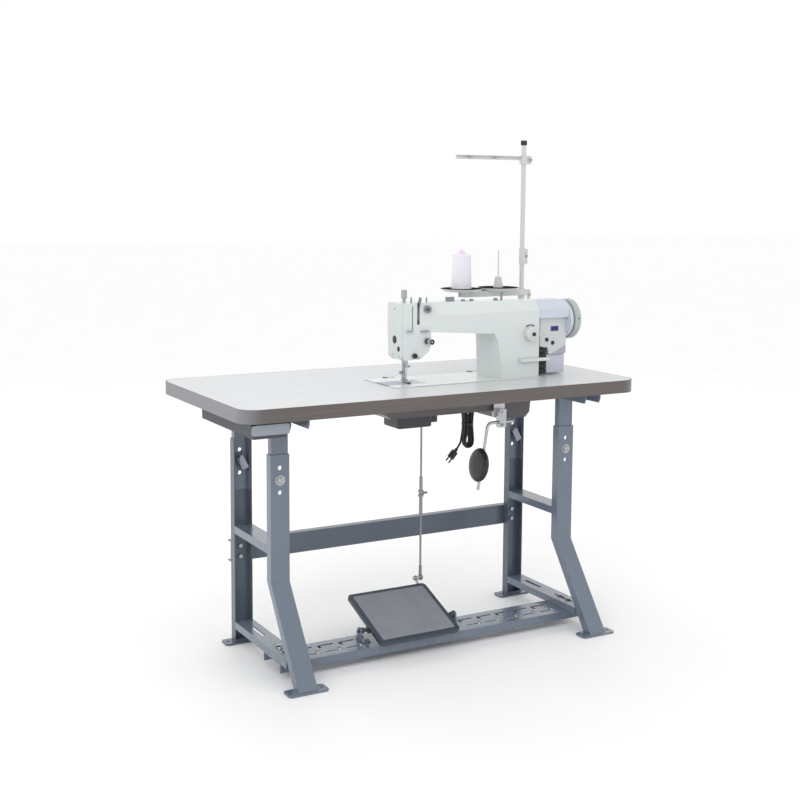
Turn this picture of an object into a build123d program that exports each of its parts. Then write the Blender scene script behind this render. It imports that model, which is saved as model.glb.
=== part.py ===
"""Industrial lockstitch sewing machine on its table and height-adjustable treadle stand.

Frame: origin on the floor under the middle of the object's footprint, +Z up, +X to the
operator's right, +Y away from the operator.  All sizes in millimetres.
"""
import math
import os

from build123d import *

os.makedirs("parts", exist_ok=True)

# ---------------------------------------------------------------- driving dimensions
# Table
table_width, table_depth, table_thick = 1200.0, 600.0, 35.0
table_top = 710.0
table_corner = 50.0
band_thick = 3.0
# Stand
leg_x = 447.0                 # middle of each side frame
leg_width, leg_depth, leg_wall = 52.0, 26.0, 2.5
front_leg_reach = 168.0       # table centre to the front face of the front legs
rear_leg_reach = 105.0        # table centre to the rear face of the rear legs
foot_reach = 323.0            # table centre to the middle of the front foot plates
foot_width, foot_depth, foot_thick = 109.0, 44.0, 5.0
foot_hole_spacing, foot_hole = 84.0, 4.5
kick_height = 236.0           # where the front legs bend forward
outer_leg_top = 568.0
inner_post_bottom = 424.0
adjust_hole_z = (470.0, 502.0, 534.0)
adjust_hole_r = 5.5
bolt_r, bolt_hole_r = 4.0, 4.2
crossbar_top, crossbar_h, crossbar_d = 281.0, 58.0, 24.0
crossbar_bolt_z = (crossbar_top - crossbar_h / 2 - 15, crossbar_top - crossbar_h / 2 + 15)
# Table centre, set so that the footprint's middle is at the origin
table_y = (foot_reach + foot_depth / 2 - table_depth / 2) / 2
# Head
bed_length, bed_depth = 476.0, 178.0
bed_left = -98.0
bed_top = table_top + 2.0
needle_x = -27.0
needle_y = table_y - 74.0
head_front = table_y - 125.0
head_rear = table_y - 46.0
arm_rear = table_y - 28.0
arm_top = 934.0
shaft_z = 868.0
shaft_r = 7.0
running_gap = 0.05            # radial clearance of a running fit
free_gap = 0.4                # clearance between parts that pass each other

underside = table_top - table_thick
bed_right = bed_left + bed_length
bed_front = table_y - 141.0
bed_rear = bed_front + bed_depth
left, right = -leg_x, leg_x


def write(label, builder):
    """Label a finished piece and write its STEP file."""
    builder.part.label = label
    export_step(builder.part, f"parts/{label}.step")


def block(x0, x1, y0, y1, z0, z1, mode=Mode.ADD):
    """A box between two corners, inside the current part."""
    centre = ((x0 + x1) / 2, (y0 + y1) / 2, (z0 + z1) / 2)
    with Locations(centre):
        Box(x1 - x0, y1 - y0, z1 - z0, mode=mode)


def rod_x(x0, x1, y, z, r, mode=Mode.ADD):
    """A round bar along X."""
    with Locations(Location(((x0 + x1) / 2, y, z), (0, 90, 0))):
        Cylinder(r, x1 - x0, mode=mode)


def rod_y(y0, y1, x, z, r, mode=Mode.ADD):
    """A round bar along Y."""
    with Locations(Location((x, (y0 + y1) / 2, z), (90, 0, 0))):
        Cylinder(r, y1 - y0, mode=mode)


def rod_z(z0, z1, x, y, r, mode=Mode.ADD):
    """A round bar along Z."""
    with Locations((x, y, (z0 + z1) / 2)):
        Cylinder(r, z1 - z0, mode=mode)


def prism_xz(points, y0, y1, mode=Mode.ADD):
    """A plate whose outline is drawn in X and Z, from y0 to y1."""
    with BuildSketch(Plane.XZ.offset(-y1)) as outline:
        with BuildLine():
            Polyline(*points, close=True)
        make_face()
    extrude(outline.sketch, amount=y1 - y0, mode=mode)


def prism_yz(points, x0, x1, mode=Mode.ADD):
    """A plate whose outline is drawn in Y and Z, from x0 to x1."""
    with BuildSketch(Plane.YZ.offset(x0)) as outline:
        with BuildLine():
            Polyline(*points, close=True)
        make_face()
    extrude(outline.sketch, amount=x1 - x0, mode=mode)


def prism_xy(points, z0, z1, mode=Mode.ADD):
    """A plate whose outline is drawn in X and Y, from z0 to z1."""
    with BuildSketch(Plane.XY.offset(z0)) as outline:
        with BuildLine():
            Polyline(*points, close=True)
        make_face()
    extrude(outline.sketch, amount=z1 - z0, mode=mode)


# ---------------------------------------------------------------- stand: legs
front_face = table_y - front_leg_reach
rear_face = table_y + rear_leg_reach
front_foot_y = table_y - foot_reach
rear_foot_y = rear_face - leg_depth / 2
kick_foot_front = front_foot_y - 13.0      # front of the leg where it meets its foot


def foot_plate(x, y):
    """A foot plate with its two floor-bolt holes."""
    with BuildSketch(Plane.XY) as outline:
        with Locations((x, y)):
            RectangleRounded(foot_width, foot_depth, 10)
            with GridLocations(foot_hole_spacing, 1, 2, 1):
                Circle(foot_hole, mode=Mode.SUBTRACT)
    extrude(outline.sketch, amount=foot_thick)


def front_leg(x):
    """Upright channel, open to the rear, over a closed leg that kicks forward."""
    half = leg_width / 2
    inner = half - leg_wall
    with BuildPart() as leg:
        block(x - half, x + half, front_face, front_face + leg_depth, kick_height, outer_leg_top)
        prism_yz(
            [
                (front_face, kick_height),
                (front_face + leg_depth, kick_height),
                (kick_foot_front + leg_depth + 6, foot_thick),
                (kick_foot_front, foot_thick),
            ],
            x - half,
            x + half,
        )
        block(
            x - inner, x + inner, front_face + leg_wall, front_face + leg_depth + 1,
            kick_height + 20, outer_leg_top + 1, mode=Mode.SUBTRACT,
        )
        for hole_z in adjust_hole_z:
            rod_y(front_face - 1, front_face + leg_wall + 1, x, hole_z, adjust_hole_r, Mode.SUBTRACT)
        foot_plate(x, front_foot_y)
    return leg


def rear_leg(x):
    """Upright channel, open to the front, on its foot plate."""
    half = leg_width / 2
    inner = half - leg_wall
    with BuildPart() as leg:
        block(x - half, x + half, rear_face - leg_depth, rear_face, foot_thick, outer_leg_top)
        block(
            x - inner, x + inner, rear_face - leg_depth - 1, rear_face - leg_wall,
            foot_thick + 6, outer_leg_top + 1, mode=Mode.SUBTRACT,
        )
        for hole_z in adjust_hole_z:
            rod_y(rear_face - leg_wall - 1, rear_face + 1, x, hole_z, adjust_hole_r, Mode.SUBTRACT)
        for bolt_z in crossbar_bolt_z:
            rod_y(rear_face - leg_wall - 1, rear_face + 1, x, bolt_z, bolt_hole_r, Mode.SUBTRACT)
        foot_plate(x, rear_foot_y)
    return leg


for side, side_x in (("left", left), ("right", right)):
    write(f"front_leg_{side}", front_leg(side_x))
    write(f"rear_leg_{side}", rear_leg(side_x))

# ---------------------------------------------------------------- stand: braces, crossbar, rail
brace_front = front_face + leg_depth + 0.2
brace_rear = rear_face - leg_depth - 0.2
rail_slot_y = table_y - 172.0
rail_bolt_y = (rail_slot_y - 20, rail_slot_y + 20)
mid_brace_top, mid_brace_h = 330.0, 21.0
low_brace_top, low_brace_h = 62.0, 20.0
low_leg_rear = front_face + leg_depth - (front_face - kick_foot_front) * (
    kick_height - low_brace_top
) / (kick_height - foot_thick) + 8.0

with BuildPart() as leg_braces:
    half = leg_width / 2
    for x in (left, right):
        # mid brace: channel open downwards, between the two uprights
        block(x - half, x + half, brace_front, brace_rear, mid_brace_top - mid_brace_h, mid_brace_top)
        block(
            x - half + leg_wall, x + half - leg_wall, brace_front - 1, brace_rear + 1,
            mid_brace_top - mid_brace_h - 1, mid_brace_top - leg_wall, mode=Mode.SUBTRACT,
        )
        # low brace: wider channel with two slots, from the kicked leg to the rear leg
        block(x - half, x + half, low_leg_rear, brace_rear, low_brace_top - low_brace_h, low_brace_top)
        block(
            x - half + leg_wall, x + half - leg_wall, low_leg_rear - 1, brace_rear + 1,
            low_brace_top - low_brace_h - 1, low_brace_top - leg_wall, mode=Mode.SUBTRACT,
        )
        for slot_y in (rail_slot_y, table_y - 20):
            with BuildSketch(Plane.XY.offset(low_brace_top)):
                with Locations((x, slot_y)):
                    SlotOverall(80, 11, rotation=90)
            extrude(amount=-leg_wall - 1, mode=Mode.SUBTRACT)
write("leg_braces", leg_braces)

crossbar_y = rear_face + 0.2
with BuildPart() as rear_crossbar:
    span = leg_x + leg_width / 2
    block(-span, span, crossbar_y, crossbar_y + crossbar_d, crossbar_top - crossbar_h, crossbar_top)
    block(
        -span - 1, span + 1, crossbar_y + leg_wall, crossbar_y + crossbar_d + 1,
        crossbar_top - crossbar_h + leg_wall, crossbar_top - leg_wall, mode=Mode.SUBTRACT,
    )
    for x in (left, right):
        for z in crossbar_bolt_z:
            rod_y(crossbar_y - 1, crossbar_y + leg_wall + 1, x, z, bolt_hole_r, Mode.SUBTRACT)
write("rear_crossbar", rear_crossbar)

rail_front, rail_rear = table_y - 225.0, table_y - 119.0
rail_top, rail_h = low_brace_top - low_brace_h - 0.2, 23.0
rail_end = leg_x + leg_width / 2
with BuildPart() as pedal_rail:
    block(-rail_end, rail_end, rail_front, rail_rear, rail_top - rail_h, rail_top)
    block(
        -rail_end - 1, rail_end + 1, rail_front + leg_wall, rail_rear - leg_wall,
        rail_top - rail_h - 1, rail_top - leg_wall, mode=Mode.SUBTRACT,
    )
    # pairs of L-shaped openings along the rail
    rail_mid = (rail_front + rail_rear) / 2
    for i in range(-6, 7):
        x = 62.0 * i
        if abs(x + 215) < 30 or abs(x - 77) < 30:
            continue
        for flip in (-1, 1):
            y = rail_mid + 24 * flip
            block(x - 22, x + 22, y - 4, y + 4, rail_top - 6, rail_top + 1, mode=Mode.SUBTRACT)
            block(
                x - 22 * flip - 4, x - 22 * flip + 4, min(y, y - 18 * flip), max(y, y - 18 * flip),
                rail_top - 6, rail_top + 1, mode=Mode.SUBTRACT,
            )
    for x in (left, right):
        for y in rail_bolt_y:
            rod_z(rail_top - leg_wall - 1, rail_top + 1, x, y, bolt_hole_r, mode=Mode.SUBTRACT)
write("pedal_rail", pedal_rail)

with BuildPart() as frame_bolts:
    # height bolts: head and washer outside each leg, nut plate inside
    for x in (left, right):
        z = adjust_hole_z[1]
        rod_y(front_face - 2, front_face, x, z, 14)
        rod_y(front_face - 8, front_face - 2, x, z, 9)
        rod_y(front_face, front_face + 16, x, z, bolt_r)
        rod_y(rear_face, rear_face + 2, x, z, 12)
        rod_y(rear_face + 2, rear_face + 7, x, z, 8)
        rod_y(rear_face - 22, rear_face, x, z, bolt_r)
        with Locations(Location((x, rear_face - 24, z), (0, -28, 0))):
            Box(15, 6, 34)
        # crossbar bolts
        for z in crossbar_bolt_z:
            rod_y(rear_face - leg_wall - 6, rear_face - leg_wall, x, z, 7)
            rod_y(rear_face - leg_wall, crossbar_y + leg_wall, x, z, bolt_r)
            rod_y(crossbar_y + leg_wall, crossbar_y + leg_wall + 6, x, z, 7)
        # rail bolts through the front slots of the low braces
        for y in rail_bolt_y:
            rod_z(low_brace_top, low_brace_top + 6, x, y, 8)
            rod_z(rail_top - leg_wall, low_brace_top, x, y, bolt_r)
            rod_z(rail_top - leg_wall - 6, rail_top - leg_wall, x, y, 7)
write("frame_bolts", frame_bolts)

# ---------------------------------------------------------------- pedal and its link rods
pedal_x = -70.0
pedal_half = 123.0
pedal_tilt = math.radians(20.5)
pivot_y, pivot_z = table_y - 165.0, 69.0
pedal_plane = Plane(
    origin=(pedal_x, pivot_y, pivot_z),
    x_dir=(1, 0, 0),
    z_dir=(0, -math.sin(pedal_tilt), math.cos(pedal_tilt)),
)
pedal_front_len, pedal_rear_len = 78.0, 136.0       # from the pivot, along the plate
pedal_top_offset, pedal_skirt = 13.0, 10.0
bracket_x = pedal_half + 22.0
pin_r = 5.0

with BuildPart() as pedal_brackets:
    for s in (-1, 1):
        x = pedal_x + s * bracket_x
        block(min(x - s * 20, x + s * 3), max(x - s * 20, x + s * 3), pivot_y - 22, pivot_y + 22, rail_top, rail_top + 4)
        prism_yz(
            [(pivot_y - 16, rail_top + 3), (pivot_y + 16, rail_top + 3),
             (pivot_y + 9, pivot_z + 6), (pivot_y - 9, pivot_z + 6)],
            min(x, x + s * 4), max(x, x + s * 4),
        )
        rod_x(min(x, x + s * 4), max(x, x + s * 4), pivot_y, pivot_z, 10.5)
        rod_x(x - 6, x + 6, pivot_y, pivot_z, pin_r + running_gap, mode=Mode.SUBTRACT)
        for dy in (-15, 15):
            rod_z(rail_top + 4, rail_top + 9, x - s * 11, pivot_y + dy, 6)
write("pedal_brackets", pedal_brackets)

with BuildPart() as pedal_plate:
    with BuildSketch(pedal_plane.offset(pedal_top_offset - pedal_skirt)):
        with Locations((0, (pedal_rear_len - pedal_front_len) / 2)):
            RectangleRounded(2 * pedal_half, pedal_rear_len + pedal_front_len, 12)
    extrude(amount=pedal_skirt)
    with BuildSketch(pedal_plane.offset(pedal_top_offset - pedal_skirt - 1)):
        with Locations((0, (pedal_rear_len - pedal_front_len) / 2)):
            RectangleRounded(2 * pedal_half - 8, pedal_rear_len + pedal_front_len - 8, 8)
    extrude(amount=pedal_skirt - 3, mode=Mode.SUBTRACT)
    with BuildSketch(pedal_plane.offset(pedal_top_offset)):
        with Locations((0, (pedal_rear_len - pedal_front_len) / 2)):
            RectangleRounded(2 * pedal_half - 24, pedal_rear_len + pedal_front_len - 24, 4)
    extrude(amount=-1.5, mode=Mode.SUBTRACT)
    # side cheeks and pivot pins, turning in the brackets
    for s in (-1, 1):
        x = pedal_x + s * pedal_half
        prism_yz(
            [(pivot_y - 26, pivot_z - 2), (pivot_y + 26, pivot_z + 12),
             (pivot_y + 24, pivot_z + 22), (pivot_y - 10, pivot_z + 9), (pivot_y - 26, pivot_z + 4)],
            min(x, x - s * 4), max(x, x - s * 4),
        )
        rod_x(min(x, x - s * 4), max(x, x - s * 4), pivot_y, pivot_z, 11)
        rod_x(min(x - s * 4, x + s * 30), max(x - s * 4, x + s * 30), pivot_y, pivot_z, pin_r)
        rod_x(min(x + s * 12, x + s * 21), max(x + s * 12, x + s * 21), pivot_y, pivot_z, 8)
write("pedal_plate", pedal_plate)

with BuildPart() as pedal_mat:
    with BuildSketch(pedal_plane.offset(pedal_top_offset - 1.4)):
        with Locations((0, (pedal_rear_len - pedal_front_len) / 2)):
            RectangleRounded(2 * pedal_half - 25, pedal_rear_len + pedal_front_len - 25, 4)
    extrude(amount=2.6)
write("pedal_mat", pedal_mat)

# Ball joint on the lever behind the pedal
ball_x, ball_y, ball_z = 50.0, table_y - 25.0, 140.0
ball_r = 5.5
lever_x = ball_x - 13.0


def on_pedal(along, above):
    """(y, z) of a point given along the pedal from its pivot and above its axis."""
    point = pedal_plane.from_local_coords((0, along, above))
    return point.Y, point.Z


with BuildPart() as pedal_hook:
    # strap under the pedal's rear edge, rising to the ball
    prism_yz(
        [
            on_pedal(100, 8.9), on_pedal(100, -0.5), on_pedal(137, -0.5), (ball_y + 6, ball_z - 6),
            (ball_y + 6, ball_z + 6), (ball_y - 6, ball_z + 5), on_pedal(136.6, 2.8),
            on_pedal(112, 2.8), on_pedal(112, 8.9),
        ],
        lever_x - 2, lever_x + 2,
    )
    rod_x(lever_x, ball_x - 3, ball_y, ball_z, 2.6)
    rod_x(lever_x - 9, lever_x - 2, ball_y, ball_z, 6)
    with Locations((ball_x, ball_y, ball_z)):
        Sphere(ball_r)
write("pedal_hook", pedal_hook)

rod_r = 3.0
sleeve_bottom, sleeve_top = 326.0, 432.0
with BuildPart() as lower_rod:
    # cup over the ball, its stem, the rod and the clamp sleeve at the top
    with Locations((ball_x, ball_y, ball_z)):
        Sphere(8.5)
        Sphere(ball_r + 0.3, mode=Mode.SUBTRACT)
    block(ball_x - 10, ball_x - 2.4, ball_y - 10, ball_y + 10, ball_z - 10, ball_z + 10, mode=Mode.SUBTRACT)
    rod_z(ball_z + 7.6, ball_z + 34, ball_x, ball_y, 4.5)
    rod_z(ball_z + 30, sleeve_bottom + 20, ball_x, ball_y, rod_r)
    rod_z(sleeve_bottom, sleeve_top, ball_x, ball_y, 5.0)
    # two clamp collars with their screw
    for z in (376.0, 388.0):
        rod_z(z, z + 6, ball_x, ball_y, 8.0)
    rod_x(ball_x + 4, ball_x + 20, ball_y, 385, 3.2)
    rod_z(sleeve_bottom + 20, sleeve_top + 1, ball_x, ball_y, rod_r + running_gap, mode=Mode.SUBTRACT)
write("lower_rod", lower_rod)

fork_z = 600.0
with BuildPart() as upper_rod:
    rod_z(sleeve_bottom + 56, fork_z - 8, ball_x, ball_y, rod_r)
    # fork end round the tip of the speed lever, open with clearance all round
    block(ball_x - 7, ball_x + 7, ball_y - 6, ball_y + 6, fork_z - 10, fork_z + 5)
    block(ball_x - 3.5, ball_x + 3.5, ball_y - 7, ball_y + 7, fork_z - 6, fork_z + 6, mode=Mode.SUBTRACT)
write("upper_rod", upper_rod)

# ---------------------------------------------------------------- table
cut_gap, hinge_gap = 2.2, 3.5
cutout = (bed_left - cut_gap, bed_right + cut_gap, bed_front - cut_gap, bed_rear + hinge_gap)
hinge_x = (-20.0, 262.0)
hinge_y, hinge_z = bed_rear + 2.0, table_top - 4.0
pocket_half, pocket_deep = 18.0, 14.0
with BuildPart() as table_board:
    with BuildSketch(Plane.XY.offset(underside)):
        with Locations((0, table_y)):
            RectangleRounded(
                table_width - 2 * band_thick, table_depth - 2 * band_thick, table_corner - band_thick
            )
    extrude(amount=table_thick)
    block(*cutout, underside - 1, table_top + 1, mode=Mode.SUBTRACT)
    for x in hinge_x:
        block(
            x - pocket_half, x + pocket_half, cutout[3] - 1, cutout[3] + pocket_deep,
            underside - 1, table_top + 1, mode=Mode.SUBTRACT,
        )
write("table_board", table_board)

with BuildPart() as edge_band:
    with BuildSketch(Plane.XY.offset(underside)):
        with Locations((0, table_y)):
            RectangleRounded(table_width, table_depth, table_corner)
            RectangleRounded(
                table_width - 2 * band_thick, table_depth - 2 * band_thick,
                table_corner - band_thick, mode=Mode.SUBTRACT,
            )
    extrude(amount=table_thick)
write("edge_band", edge_band)

post_gap = 0.3
post_half = leg_width / 2 - leg_wall - post_gap
with BuildPart() as inner_posts:
    for x in (left, right):
        for face, inward in ((front_face + leg_wall + post_gap, 1), (rear_face - leg_wall - post_gap, -1)):
            y0, y1 = sorted((face, face + inward * 20))
            block(x - post_half, x + post_half, y0, y1, inner_post_bottom, underside - leg_wall)
            y0, y1 = sorted((face + inward * leg_wall, face + inward * 21))
            block(
                x - post_half + leg_wall, x + post_half - leg_wall, y0, y1,
                inner_post_bottom - 1, underside - 2, mode=Mode.SUBTRACT,
            )
            # slot that the height bolt slides in
            block(
                x - adjust_hole_r, x + adjust_hole_r, face - 21, face + 21,
                adjust_hole_z[0] - adjust_hole_r, adjust_hole_z[-1] + adjust_hole_r, mode=Mode.SUBTRACT,
            )
write("inner_posts", inner_posts)

channel_h = 24.0
channel_front, channel_rear = table_y - 290.0, table_y + 270.0
with BuildPart() as top_channels:
    for x in (left, right):
        half = leg_width / 2
        prism_yz(
            [
                (channel_front, underside), (channel_rear, underside),
                (channel_rear, underside - 8), (channel_rear - 30, underside - channel_h),
                (channel_front + 6, underside - channel_h), (channel_front, underside - 12),
            ],
            x - half, x + half,
        )
        block(
            x - half + leg_wall, x + half - leg_wall, channel_front - 1, channel_rear + 1,
            underside - channel_h - 1, underside - leg_wall, mode=Mode.SUBTRACT,
        )
write("top_channels", top_channels)

# ---------------------------------------------------------------- drawer under the left end
tray_left, tray_right = -568.0, -480.0
tray_front, tray_rear = table_y - 284.0, table_y + 62.0
tray_bottom, tray_top = underside - 39.0, underside - 5.0
lip_top = underside - 7.6
with BuildPart() as drawer_runners:
    for edge, s in ((tray_left, -1), (tray_right, 1)):
        block(*sorted((edge + s * 3.4, edge + s * 6)), tray_front, tray_rear, underside - 11, underside)
        block(*sorted((edge + s * 0.4, edge + s * 6)), tray_front, tray_rear, underside - 11, lip_top)
write("drawer_runners", drawer_runners)

with BuildPart() as drawer_tray:
    block(tray_left, tray_right, tray_front, tray_rear, tray_bottom, tray_top)
    block(tray_left - 3, tray_right + 3, tray_front, tray_rear, lip_top + 0.4, tray_top)
    block(
        tray_left + 2, tray_right - 2, tray_front + 2, tray_rear - 2,
        tray_bottom + 2, tray_top + 1, mode=Mode.SUBTRACT,
    )
write("drawer_tray", drawer_tray)

with BuildPart() as drawer_front:
    block(tray_left - 4, tray_right + 5, tray_front - 7, tray_front, underside - 30, underside - 4)
    fillet(drawer_front.edges().filter_by(Axis.Y), 5)
    block(
        tray_left + 1, tray_right, tray_front - 4, tray_front + 1,
        underside - 34, underside - 9, mode=Mode.SUBTRACT,
    )
write("drawer_front", drawer_front)

# ---------------------------------------------------------------- oil pan
pan_left, pan_right = -128.0, 332.0
pan_front, pan_rear = table_y - 148.0, table_y + 44.0
pan_bottom, well_bottom = underside - 47.0, underside - 73.0
well_left = 226.0
pan_wall = 2.5
with BuildPart() as oil_pan:
    profile = [
        (pan_left, underside), (pan_right + 6, underside), (pan_right, well_bottom + 14),
        (pan_right - 14, well_bottom), (well_left + 8, well_bottom), (well_left, pan_bottom),
        (pan_left + 12, pan_bottom), (pan_left, pan_bottom + 10),
    ]
    inside = [
        (pan_left + pan_wall, underside + 1), (pan_right + 3, underside + 1),
        (pan_right - pan_wall, well_bottom + 16), (pan_right - 16, well_bottom + pan_wall),
        (well_left + 9, well_bottom + pan_wall), (well_left, pan_bottom + pan_wall),
        (pan_left + 13, pan_bottom + pan_wall), (pan_left + pan_wall, pan_bottom + 11),
    ]
    prism_xz(profile, pan_front, pan_rear)
    prism_xz(inside, pan_front + pan_wall, pan_rear - pan_wall, mode=Mode.SUBTRACT)
write("oil_pan", oil_pan)

# ---------------------------------------------------------------- pedal speed unit and its lever
unit_left, unit_right = -42.0, 67.0
unit_front, unit_rear = table_y - 58.0, table_y + 34.0
unit_bottom, unit_top = 580.0, pan_bottom
speed_pin_y = table_y + 20.0
with BuildPart() as speed_unit:
    block(unit_left, unit_right, unit_front, unit_rear, unit_bottom, unit_top)
    fillet(speed_unit.edges().filter_by(Axis.Z), 10)
    fillet(speed_unit.faces().sort_by(Axis.Z)[0].edges(), 5)
    block(
        ball_x - 9, ball_x + 9, ball_y - 14, speed_pin_y + 8, unit_bottom - 1, unit_top - 3,
        mode=Mode.SUBTRACT,
    )
    rod_x(ball_x - 9, ball_x + 9, speed_pin_y, fork_z, 3.0)
    block(unit_right, unit_right + 22, unit_front + 12, unit_rear - 10, unit_bottom + 10, unit_top)
write("speed_unit", speed_unit)

with BuildPart() as speed_lever:
    block(ball_x - 1.5, ball_x + 1.5, ball_y - 4, speed_pin_y, fork_z - 2.5, fork_z + 2.5)
    rod_x(ball_x - 4, ball_x + 4, speed_pin_y, fork_z, 6)
    rod_x(ball_x - 5, ball_x + 5, speed_pin_y, fork_z, 3.0 + running_gap, mode=Mode.SUBTRACT)
write("speed_lever", speed_lever)

# ---------------------------------------------------------------- knee lifter
knee_x, knee_z = 222.0, 626.0
knee_shaft_r = 5.0
knee_plane_y = table_y - 170.0
with BuildPart() as knee_bracket:
    block(knee_x - 18, knee_x + 18, table_y - 160, table_y - 151, knee_z - 13, underside)
    block(knee_x - 24, knee_x + 24, table_y - 186, table_y - 151, underside - 4, underside)
    rod_y(table_y - 170, table_y - 140, knee_x, knee_z, knee_shaft_r + running_gap, Mode.SUBTRACT)
write("knee_bracket", knee_bracket)

knee_rod_r = 4.5
rod_level = 598.0
knee_bend = (178.0, rod_level)
knee_tip = (148.0, 414.0)
knee_path_plane = Plane(origin=(0, knee_plane_y, 0), x_dir=(1, 0, 0), z_dir=(0, -1, 0))
with BuildPart() as knee_rod:
    with BuildLine(knee_path_plane) as knee_path:
        FilletPolyline((262.0, rod_level), knee_bend, knee_tip, radius=16)
    with BuildSketch(Plane(origin=(262.0, knee_plane_y, rod_level), z_dir=(-1, 0, 0))):
        Circle(knee_rod_r)
    sweep(path=knee_path.line)
    block(knee_x - 11, knee_x + 11, knee_plane_y - 9, knee_plane_y + 9, rod_level - 14, knee_z + 9)
    rod_y(knee_plane_y - 12, table_y - 151, knee_x, knee_z, knee_shaft_r)
    rod_y(knee_plane_y - 16, knee_plane_y - 9, knee_x, rod_level - 7, 4)
write("knee_rod", knee_rod)

knee_lean = math.atan2(knee_bend[0] - knee_tip[0], knee_bend[1] - knee_tip[1])
pad_z = 482.0
pad_x = knee_tip[0] + (pad_z - knee_tip[1]) * math.tan(knee_lean)
pad_r = 47.0
pad_axis = (-math.cos(knee_lean), 0, math.sin(knee_lean))
pad_plane = Plane(origin=(pad_x, knee_plane_y, pad_z), x_dir=(0, 1, 0), z_dir=pad_axis)
with BuildPart() as knee_pad:
    with BuildSketch(pad_plane.offset(knee_rod_r + 0.3)):
        Circle(pad_r)
    extrude(amount=7)
    with BuildSketch(pad_plane.offset(knee_rod_r + 7.3)):
        Circle(pad_r)
    extrude(amount=8, taper=55)
    # clip round the rod, with its screw
    with BuildSketch(pad_plane.offset(-12)):
        Rectangle(26, 22)
        Rectangle(2 * knee_rod_r + 0.6, 40, mode=Mode.SUBTRACT)
    extrude(amount=12 + knee_rod_r + 0.4)
    with BuildSketch(pad_plane.offset(-14)):
        Circle(7)
    extrude(amount=9)
write("knee_pad", knee_pad)

# ---------------------------------------------------------------- mains lead
cord_d = 6.0
cord_x, cord_y = 264.0, table_y + 70.0
box_bottom = underside - 32.0
gland_bottom = box_bottom - 26.0
hank_top, hank_bottom = gland_bottom - 14.0, 481.0
hank_width, hank_deep = 36.0, 31.0
with BuildPart() as power_box:
    block(cord_x - 42, cord_x + 46, cord_y - 20, cord_y + 32, box_bottom, underside)
    fillet(power_box.edges().filter_by(Axis.Z), 4)
    with BuildSketch(Plane.XY.offset(box_bottom)):
        with Locations((cord_x, cord_y)):
            Circle(7)
    extrude(amount=box_bottom - gland_bottom, dir=(0, 0, -1), taper=4)
write("power_box", power_box)

with BuildPart() as cord_hank:
    with BuildSketch(Plane.XY.offset(hank_bottom)):
        with Locations((cord_x, cord_y)):
            RectangleRounded(hank_width, hank_deep, 9)
    extrude(amount=hank_top - hank_bottom)
    fillet(cord_hank.edges().group_by(Axis.Z)[0], 8)
    fillet(cord_hank.edges().group_by(Axis.Z)[-1], 8)
write("cord_hank", cord_hank)

# the short tail that sticks out of the hank, down and to the left, to the plug
tail = [
    (cord_x - hank_width / 2, cord_y, 497.0),
    (cord_x - hank_width / 2 - 9, cord_y, 490.0),
    (cord_x - hank_width / 2 - 19, cord_y, 479.0),
]
tail_radii = []
for before, here, after in zip(tail, tail[1:], tail[2:]):
    run_in, run_out = Vector(*here) - Vector(*before), Vector(*after) - Vector(*here)
    turn = math.radians(run_in.get_angle(run_out))
    tail_radii.append(0.45 * min(run_in.length, run_out.length) / math.tan(turn / 2))
print("cord radii", [round(radius, 1) for radius in tail_radii], "for a cord of", cord_d)
with BuildPart() as power_cord:
    rod_z(hank_top, gland_bottom, cord_x, cord_y, cord_d / 2)
    with BuildLine() as tail_path:
        FilletPolyline(*tail, radius=tail_radii)
    with BuildSketch(Plane(origin=tail[0], z_dir=Vector(*tail[1]) - Vector(*tail[0]))):
        Circle(cord_d / 2)
    sweep(path=tail_path.line)
write("power_cord", power_cord)

plug_dir = Vector(*tail[-1]) - Vector(*tail[-2])
plug_plane = Plane(origin=tail[-1], x_dir=(0, 1, 0), z_dir=plug_dir)
with BuildPart() as power_plug:
    with BuildSketch(plug_plane):
        Circle(5)
    extrude(amount=9)
    with BuildSketch(plug_plane.offset(9)):
        RectangleRounded(15, 20, 5)
    extrude(amount=24)
    with BuildSketch(plug_plane.offset(33)):
        with GridLocations(1, 12, 1, 2):
            Circle(2.2)
    extrude(amount=15)
write("power_plug", power_plug)

# ---------------------------------------------------------------- thread stand
pole_x, pole_y, pole_r = 543.0, table_y + 205.0, 7.4
pole_top = 1380.0
spool_x = (321.0, 455.0)
rail_z0, rail_z1 = 916.0, 934.0
disc_r, disc_h = 65.0, 9.0
disc_seat = rail_z1 + disc_h
with BuildPart() as thread_pole:
    with BuildSketch(Plane.XY.offset(table_top)):
        with Locations((pole_x, pole_y)):
            RectangleRounded(60, 60, 8)
    extrude(amount=4)
    rod_z(table_top + 4, table_top + 30, pole_x, pole_y, 13)
    rod_z(table_top + 4, pole_top, pole_x, pole_y, pole_r)
    rod_z(pole_top, pole_top + 16, pole_x, pole_y, pole_r + 2)
    # coupling sleeve between the two lengths of pole, with its screw boss
    rod_z(1012, 1062, pole_x, pole_y, pole_r + 2.4)
    block(pole_x + 8, pole_x + 17, pole_y - 6, pole_y + 6, 1014, 1060)
write("thread_pole", thread_pole)

with BuildPart() as spool_rail:
    block(318, 568, pole_y - 13, pole_y + 13, rail_z0, rail_z1)
    block(316, 540, pole_y - 11, pole_y + 11, rail_z0 - 1, rail_z1 - 2, mode=Mode.SUBTRACT)
    block(546, 573, pole_y - 11, pole_y + 11, rail_z0 - 1, rail_z1 - 2, mode=Mode.SUBTRACT)
    block(556, 568, pole_y - 13, pole_y - 11, 902, rail_z1)
    rod_z(900, 936, pole_x, pole_y, 11)
    rod_z(899, 940, pole_x, pole_y, pole_r, mode=Mode.SUBTRACT)
write("spool_rail", spool_rail)

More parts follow.
